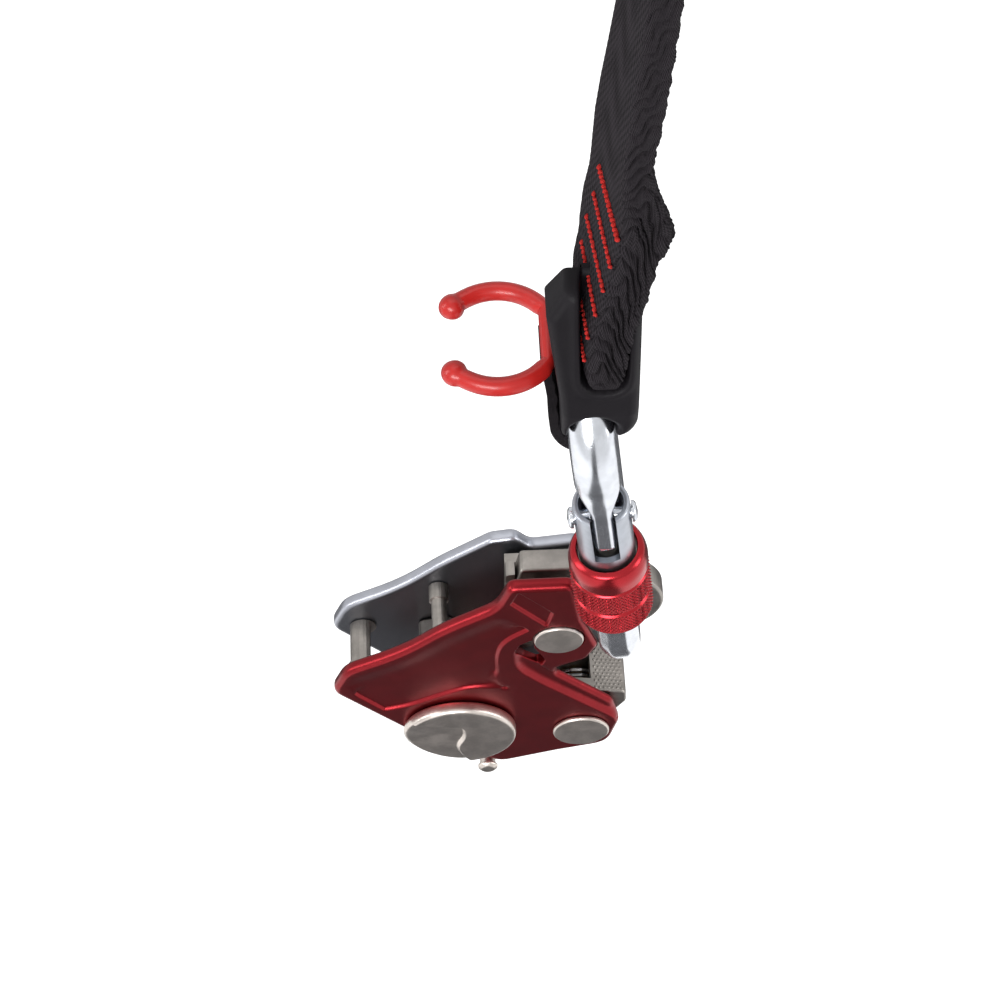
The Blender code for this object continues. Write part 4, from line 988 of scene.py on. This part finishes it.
# the lower eye: down the keeper's left side, under the bar and up on the right
t = np.radians(np.linspace(180, 360, 110))
leg = np.linspace(1, 0, 40)[:, None]
left = np.hstack([-6.8 - 1.2 * leg ** 1.3, -1.5 + 3.6 * leg, 0.15 * (1 - leg)])
under = np.stack([6.6 * np.cos(t) - 0.2, -1.5 + 6.6 * np.sin(t),
                  0.15 + 0.85 * np.abs(np.sin(t)) ** 0.8], 1)
right = np.stack([np.full(40, 6.4), np.linspace(-1.4, 8.0, 40), np.full(40, 0.15)], 1)
middle = np.vstack([left, under[1:-1], right]) + (X0, Z0, 0)
up = np.clip((middle[:, 1] - Z0 + 4.0) / 8.0, 0, 1)
band("webbing_lower_eye", middle, -14.6 + 11.2 * up, np.full(len(up), 5.0))
t = np.radians(np.linspace(-75, 255, 120))
middle = np.stack([X0 + 10.0 + 7.5 * np.cos(t), Z0 + 142.3 + 7.5 * np.sin(t), 0 * t], 1)[::-1]
band("webbing_upper_eye", middle, np.full(120, -12.2), np.full(120, 12.6), 2.6)

# %% [markdown]
# ## Stitching
# Six rows of red thread cross the webbing's left face. Each row is a zigzag of short
# stitches, and each stitch is a small bent rod that dips into the cloth at both ends.


# %% Red stitches
def stitch_row(name, start, stop, count, size):
    """Rods between points of a zigzag: path = line + sideways triangle wave, sunk at the ends."""
    start, stop = np.array(start, float), np.array(stop, float)
    verts, faces = [], []
    t = np.linspace(0, 1, 9)
    seg = np.linspace(0, 2 * math.pi, 6, endpoint=False)
    along = (stop - start) / count
    side = np.array((0.0, 0.0, 1.0)) * 0.3
    for k in range(count):
        sign = 1 if k % 2 else -1
        a, b = start + along * k - side * sign, start + along * (k + 1) + side * sign
        line = a + (b - a) * t[:, None]
        line = line - np.array((1.0, 0, 0)) * (0.2 * np.sin(math.pi * t))[:, None]
        tangent = (b - a) / np.linalg.norm(b - a)
        e1 = np.cross(tangent, (1.0, 0, 0))
        e1 /= np.linalg.norm(e1)
        e2 = np.cross(tangent, e1)
        thick = size * np.sqrt(np.clip(np.sin(math.pi * (0.04 + 0.92 * t)), 0.1, 1))
        ring = line[:, None] + thick[:, None, None] * (np.cos(seg)[None, :, None] * e1
                                                       + np.sin(seg)[None, :, None] * e2)
        base = len(verts) * 54
        verts.append(ring.reshape(-1, 3))
        faces += (grid_faces(9, 6, False, True) + base).tolist()
        faces += [[base + q for q in range(6)], [base + 53 - q for q in range(6)]]
    verts = np.concatenate(verts)
    uv = np.stack([verts[:, 0] * 4, verts[:, 2] * 4], 1)
    return piece(name, verts, faces, thread, "carabiner", uv=uv, sharp=80.0)


for number, (high, low) in enumerate([((0.34, 53.0), (0.98, 50.4)), ((0.30, 44.4), (0.98, 43.2)),
                                      ((0.28, 37.7), (0.98, 36.8)), ((0.26, 31.0), (0.98, 30.4)),
                                      ((0.26, 24.2), (0.98, 24.2)), ((0.28, 17.8), (0.98, 18.0))]):
    stitch_row("stitch_row_%d" % (number + 1), web_left(*high), web_left(*low), 16,
               0.56 if number == 0 else 0.44)


# %% [markdown]
# ## Grip on the catch
# The thumb pad's top is pressed in a close pattern of small round studs.

# %% Catch grip
spots = lattice((28.6, -6.2), (35.8, 6.2), 1.12)
spots = spots[(spots[:, 0] < 35.6)]
t = np.linspace(0, 2 * math.pi, 8, endpoint=False)
shape = np.array([(0.40, -0.10), (0.38, 0.05), (0.26, 0.16), (0.0, 0.20)])
slope = np.array((16.2, 0.0, -3.0)) / math.hypot(16.2, 3.0)
lift = np.array((3.0, 0.0, 16.2)) / math.hypot(16.2, 3.0)
centre = (np.array((20.2, 0, -33.0)) + slope * ((spots[:, :1] - 20.2) / slope[0])
          + np.array((0, 1.0, 0)) * spots[:, 1:])
ring = (centre[:, None, None] + shape[None, :, None, :1] * (np.cos(t)[None, None, :, None] * slope
        + np.sin(t)[None, None, :, None] * np.array((0, 1.0, 0)))
        + shape[None, :, None, 1:] * lift)
per = 4 * 8
stud = grid_faces(4, 8, False, True)
faces = (stud[None] + (np.arange(len(spots)) * per)[:, None, None]).reshape(-1, 4).tolist()
faces += (np.arange(7, -1, -1)[None] + (np.arange(len(spots)) * per)[:, None]).tolist()
piece("catch_grip", ring.reshape(-1, 3), faces, steel, "catch")

# %% [markdown]
# ## Studio
# A white floor well below, soft boxes in front, above and beside, and a white room. Metal in an
# all-white room looks like paper, so dark cards stand outside the picture, as in a product
# studio: one on the floor in front, which the upright faces reflect, one standing behind the
# camera and one on the floor behind. Only reflections see them.


# %% World
FLOOR_Z, CARD_Z = -0.22, -0.21


def background_rays(tree):
    """1 for camera, glossy and transmission rays, so that metal shows the white room too."""
    rays = tree.nodes.new("ShaderNodeLightPath")
    total = rays.outputs["Is Camera Ray"]
    for name in ("Is Glossy Ray", "Is Transmission Ray"):
        add = tree.nodes.new("ShaderNodeMath")
        add.operation, add.use_clamp = "ADD", True
        tree.links.new(total, add.inputs[0])
        tree.links.new(rays.outputs[name], add.inputs[1])
        total = add.outputs[0]
    return total


def seen_or_lit(tree, lit, seen):
    """A mix of two shaders: `seen` for background rays, `lit` for the light they give."""
    mix = tree.nodes.new("ShaderNodeMixShader")
    tree.links.new(background_rays(tree), mix.inputs[0])
    tree.links.new(lit.outputs[0], mix.inputs[1])
    tree.links.new(seen.outputs[0], mix.inputs[2])
    return mix


def glow(tree, kind, strength):
    """A white Background or Emission node."""
    made = tree.nodes.new(kind)
    made.inputs["Color"].default_value = (1, 1, 1, 1)
    made.inputs["Strength"].default_value = strength
    return made


world = bpy.data.worlds.new("studio")
bpy.context.scene.world = world
world.use_nodes = True
tree = world.node_tree
tree.nodes.clear()
coord = tree.nodes.new("ShaderNodeTexCoord")
split = tree.nodes.new("ShaderNodeSeparateXYZ")
tree.links.new(coord.outputs["Generated"], split.inputs[0])
ramp = tree.nodes.new("ShaderNodeMapRange")
tree.links.new(split.outputs["Z"], ramp.inputs["Value"])
for socket, value in (("From Min", -0.5), ("From Max", 0.9), ("To Min", 0.55), ("To Max", 0.75)):
    ramp.inputs[socket].default_value = value
lights = tree.nodes.new("ShaderNodeBackground")
tree.links.new(ramp.outputs[0], lights.inputs["Strength"])
room = seen_or_lit(tree, lights, glow(tree, "ShaderNodeBackground", 1.0))
output = tree.nodes.new("ShaderNodeOutputWorld")
tree.links.new(room.outputs[0], output.inputs[0])

# %% Soft boxes
def softbox(name, where, size, power, target=(0.01, 0.0, 0.02)):
    """A rectangular lamp aimed at the target; size in metres, power in watts."""
    lamp = bpy.data.lights.new(name, "AREA")
    lamp.shape, lamp.size, lamp.size_y, lamp.energy = "RECTANGLE", size[0], size[1], power
    obj = bpy.data.objects.new(name, lamp)
    bpy.context.scene.collection.objects.link(obj)
    obj.location = where
    aim = Vector(target) - Vector(where)
    obj.rotation_euler = aim.to_track_quat("-Z", "Y").to_euler()
    return obj


softbox("front_box", (-0.25, -0.85, 0.45), (0.5, 0.35), 10.0)
softbox("top_box", (0.0, 0.25, 1.0), (0.9, 0.7), 2.2)
softbox("right_box", (0.9, -0.2, 0.35), (0.25, 0.7), 3.5)
softbox("left_box", (-0.9, -0.1, 0.4), (0.25, 0.7), 3.5)
bpy.context.scene.view_settings.view_transform = "Standard"

# %% Floor and cards
def sheets(name, corners, material):
    """Four-cornered sheets, in metres."""
    mesh = bpy.data.meshes.new(name)
    mesh.from_pydata(corners, [], [tuple(range(k, k + 4)) for k in range(0, len(corners), 4)])
    mesh.materials.append(material)
    made = bpy.data.objects.new(name, mesh)
    bpy.context.scene.collection.objects.link(made)
    return made


paint = bpy.data.materials.new("floor_white")
paint.use_nodes = True
tree = paint.node_tree
diffuse = tree.nodes["Principled BSDF"]
diffuse.inputs["Base Color"].default_value = (0.5, 0.5, 0.5, 1)
diffuse.inputs["Roughness"].default_value = 0.9
shown = seen_or_lit(tree, glow(tree, "ShaderNodeEmission", 0.0),
                    glow(tree, "ShaderNodeEmission", 0.75))
blend = tree.nodes.new("ShaderNodeAddShader")
tree.links.new(diffuse.outputs[0], blend.inputs[0])
tree.links.new(shown.outputs[0], blend.inputs[1])
tree.links.new(blend.outputs[0], tree.nodes["Material Output"].inputs[0])
floor = sheets("floor", [(-3, -3, FLOOR_Z), (3, -3, FLOOR_Z), (3, 3, FLOOR_Z), (-3, 3, FLOOR_Z)],
               paint)

dark = Finish("card_dark", (0.10, 0.10, 0.105), roughness=0.9)
card = sheets("card", [
    (-0.09, -0.60, CARD_Z), (0.12, -0.60, CARD_Z), (0.12, -0.01, CARD_Z), (-0.09, -0.01, CARD_Z),
    (-0.09, -0.60, CARD_Z), (0.12, -0.60, CARD_Z), (0.11, -0.60, 0.25), (-0.06, -0.60, 0.25),
    (-0.5, 0.09, CARD_Z), (0.5, 0.09, CARD_Z), (0.5, 0.7, CARD_Z), (-0.5, 0.7, CARD_Z),
    (0.0, -0.59, 0.25), (0.06, -0.59, 0.25), (0.05, -0.59, 0.5), (0.01, -0.59, 0.5)],
    dark.material)
card.visible_camera = card.visible_shadow = card.visible_diffuse = False
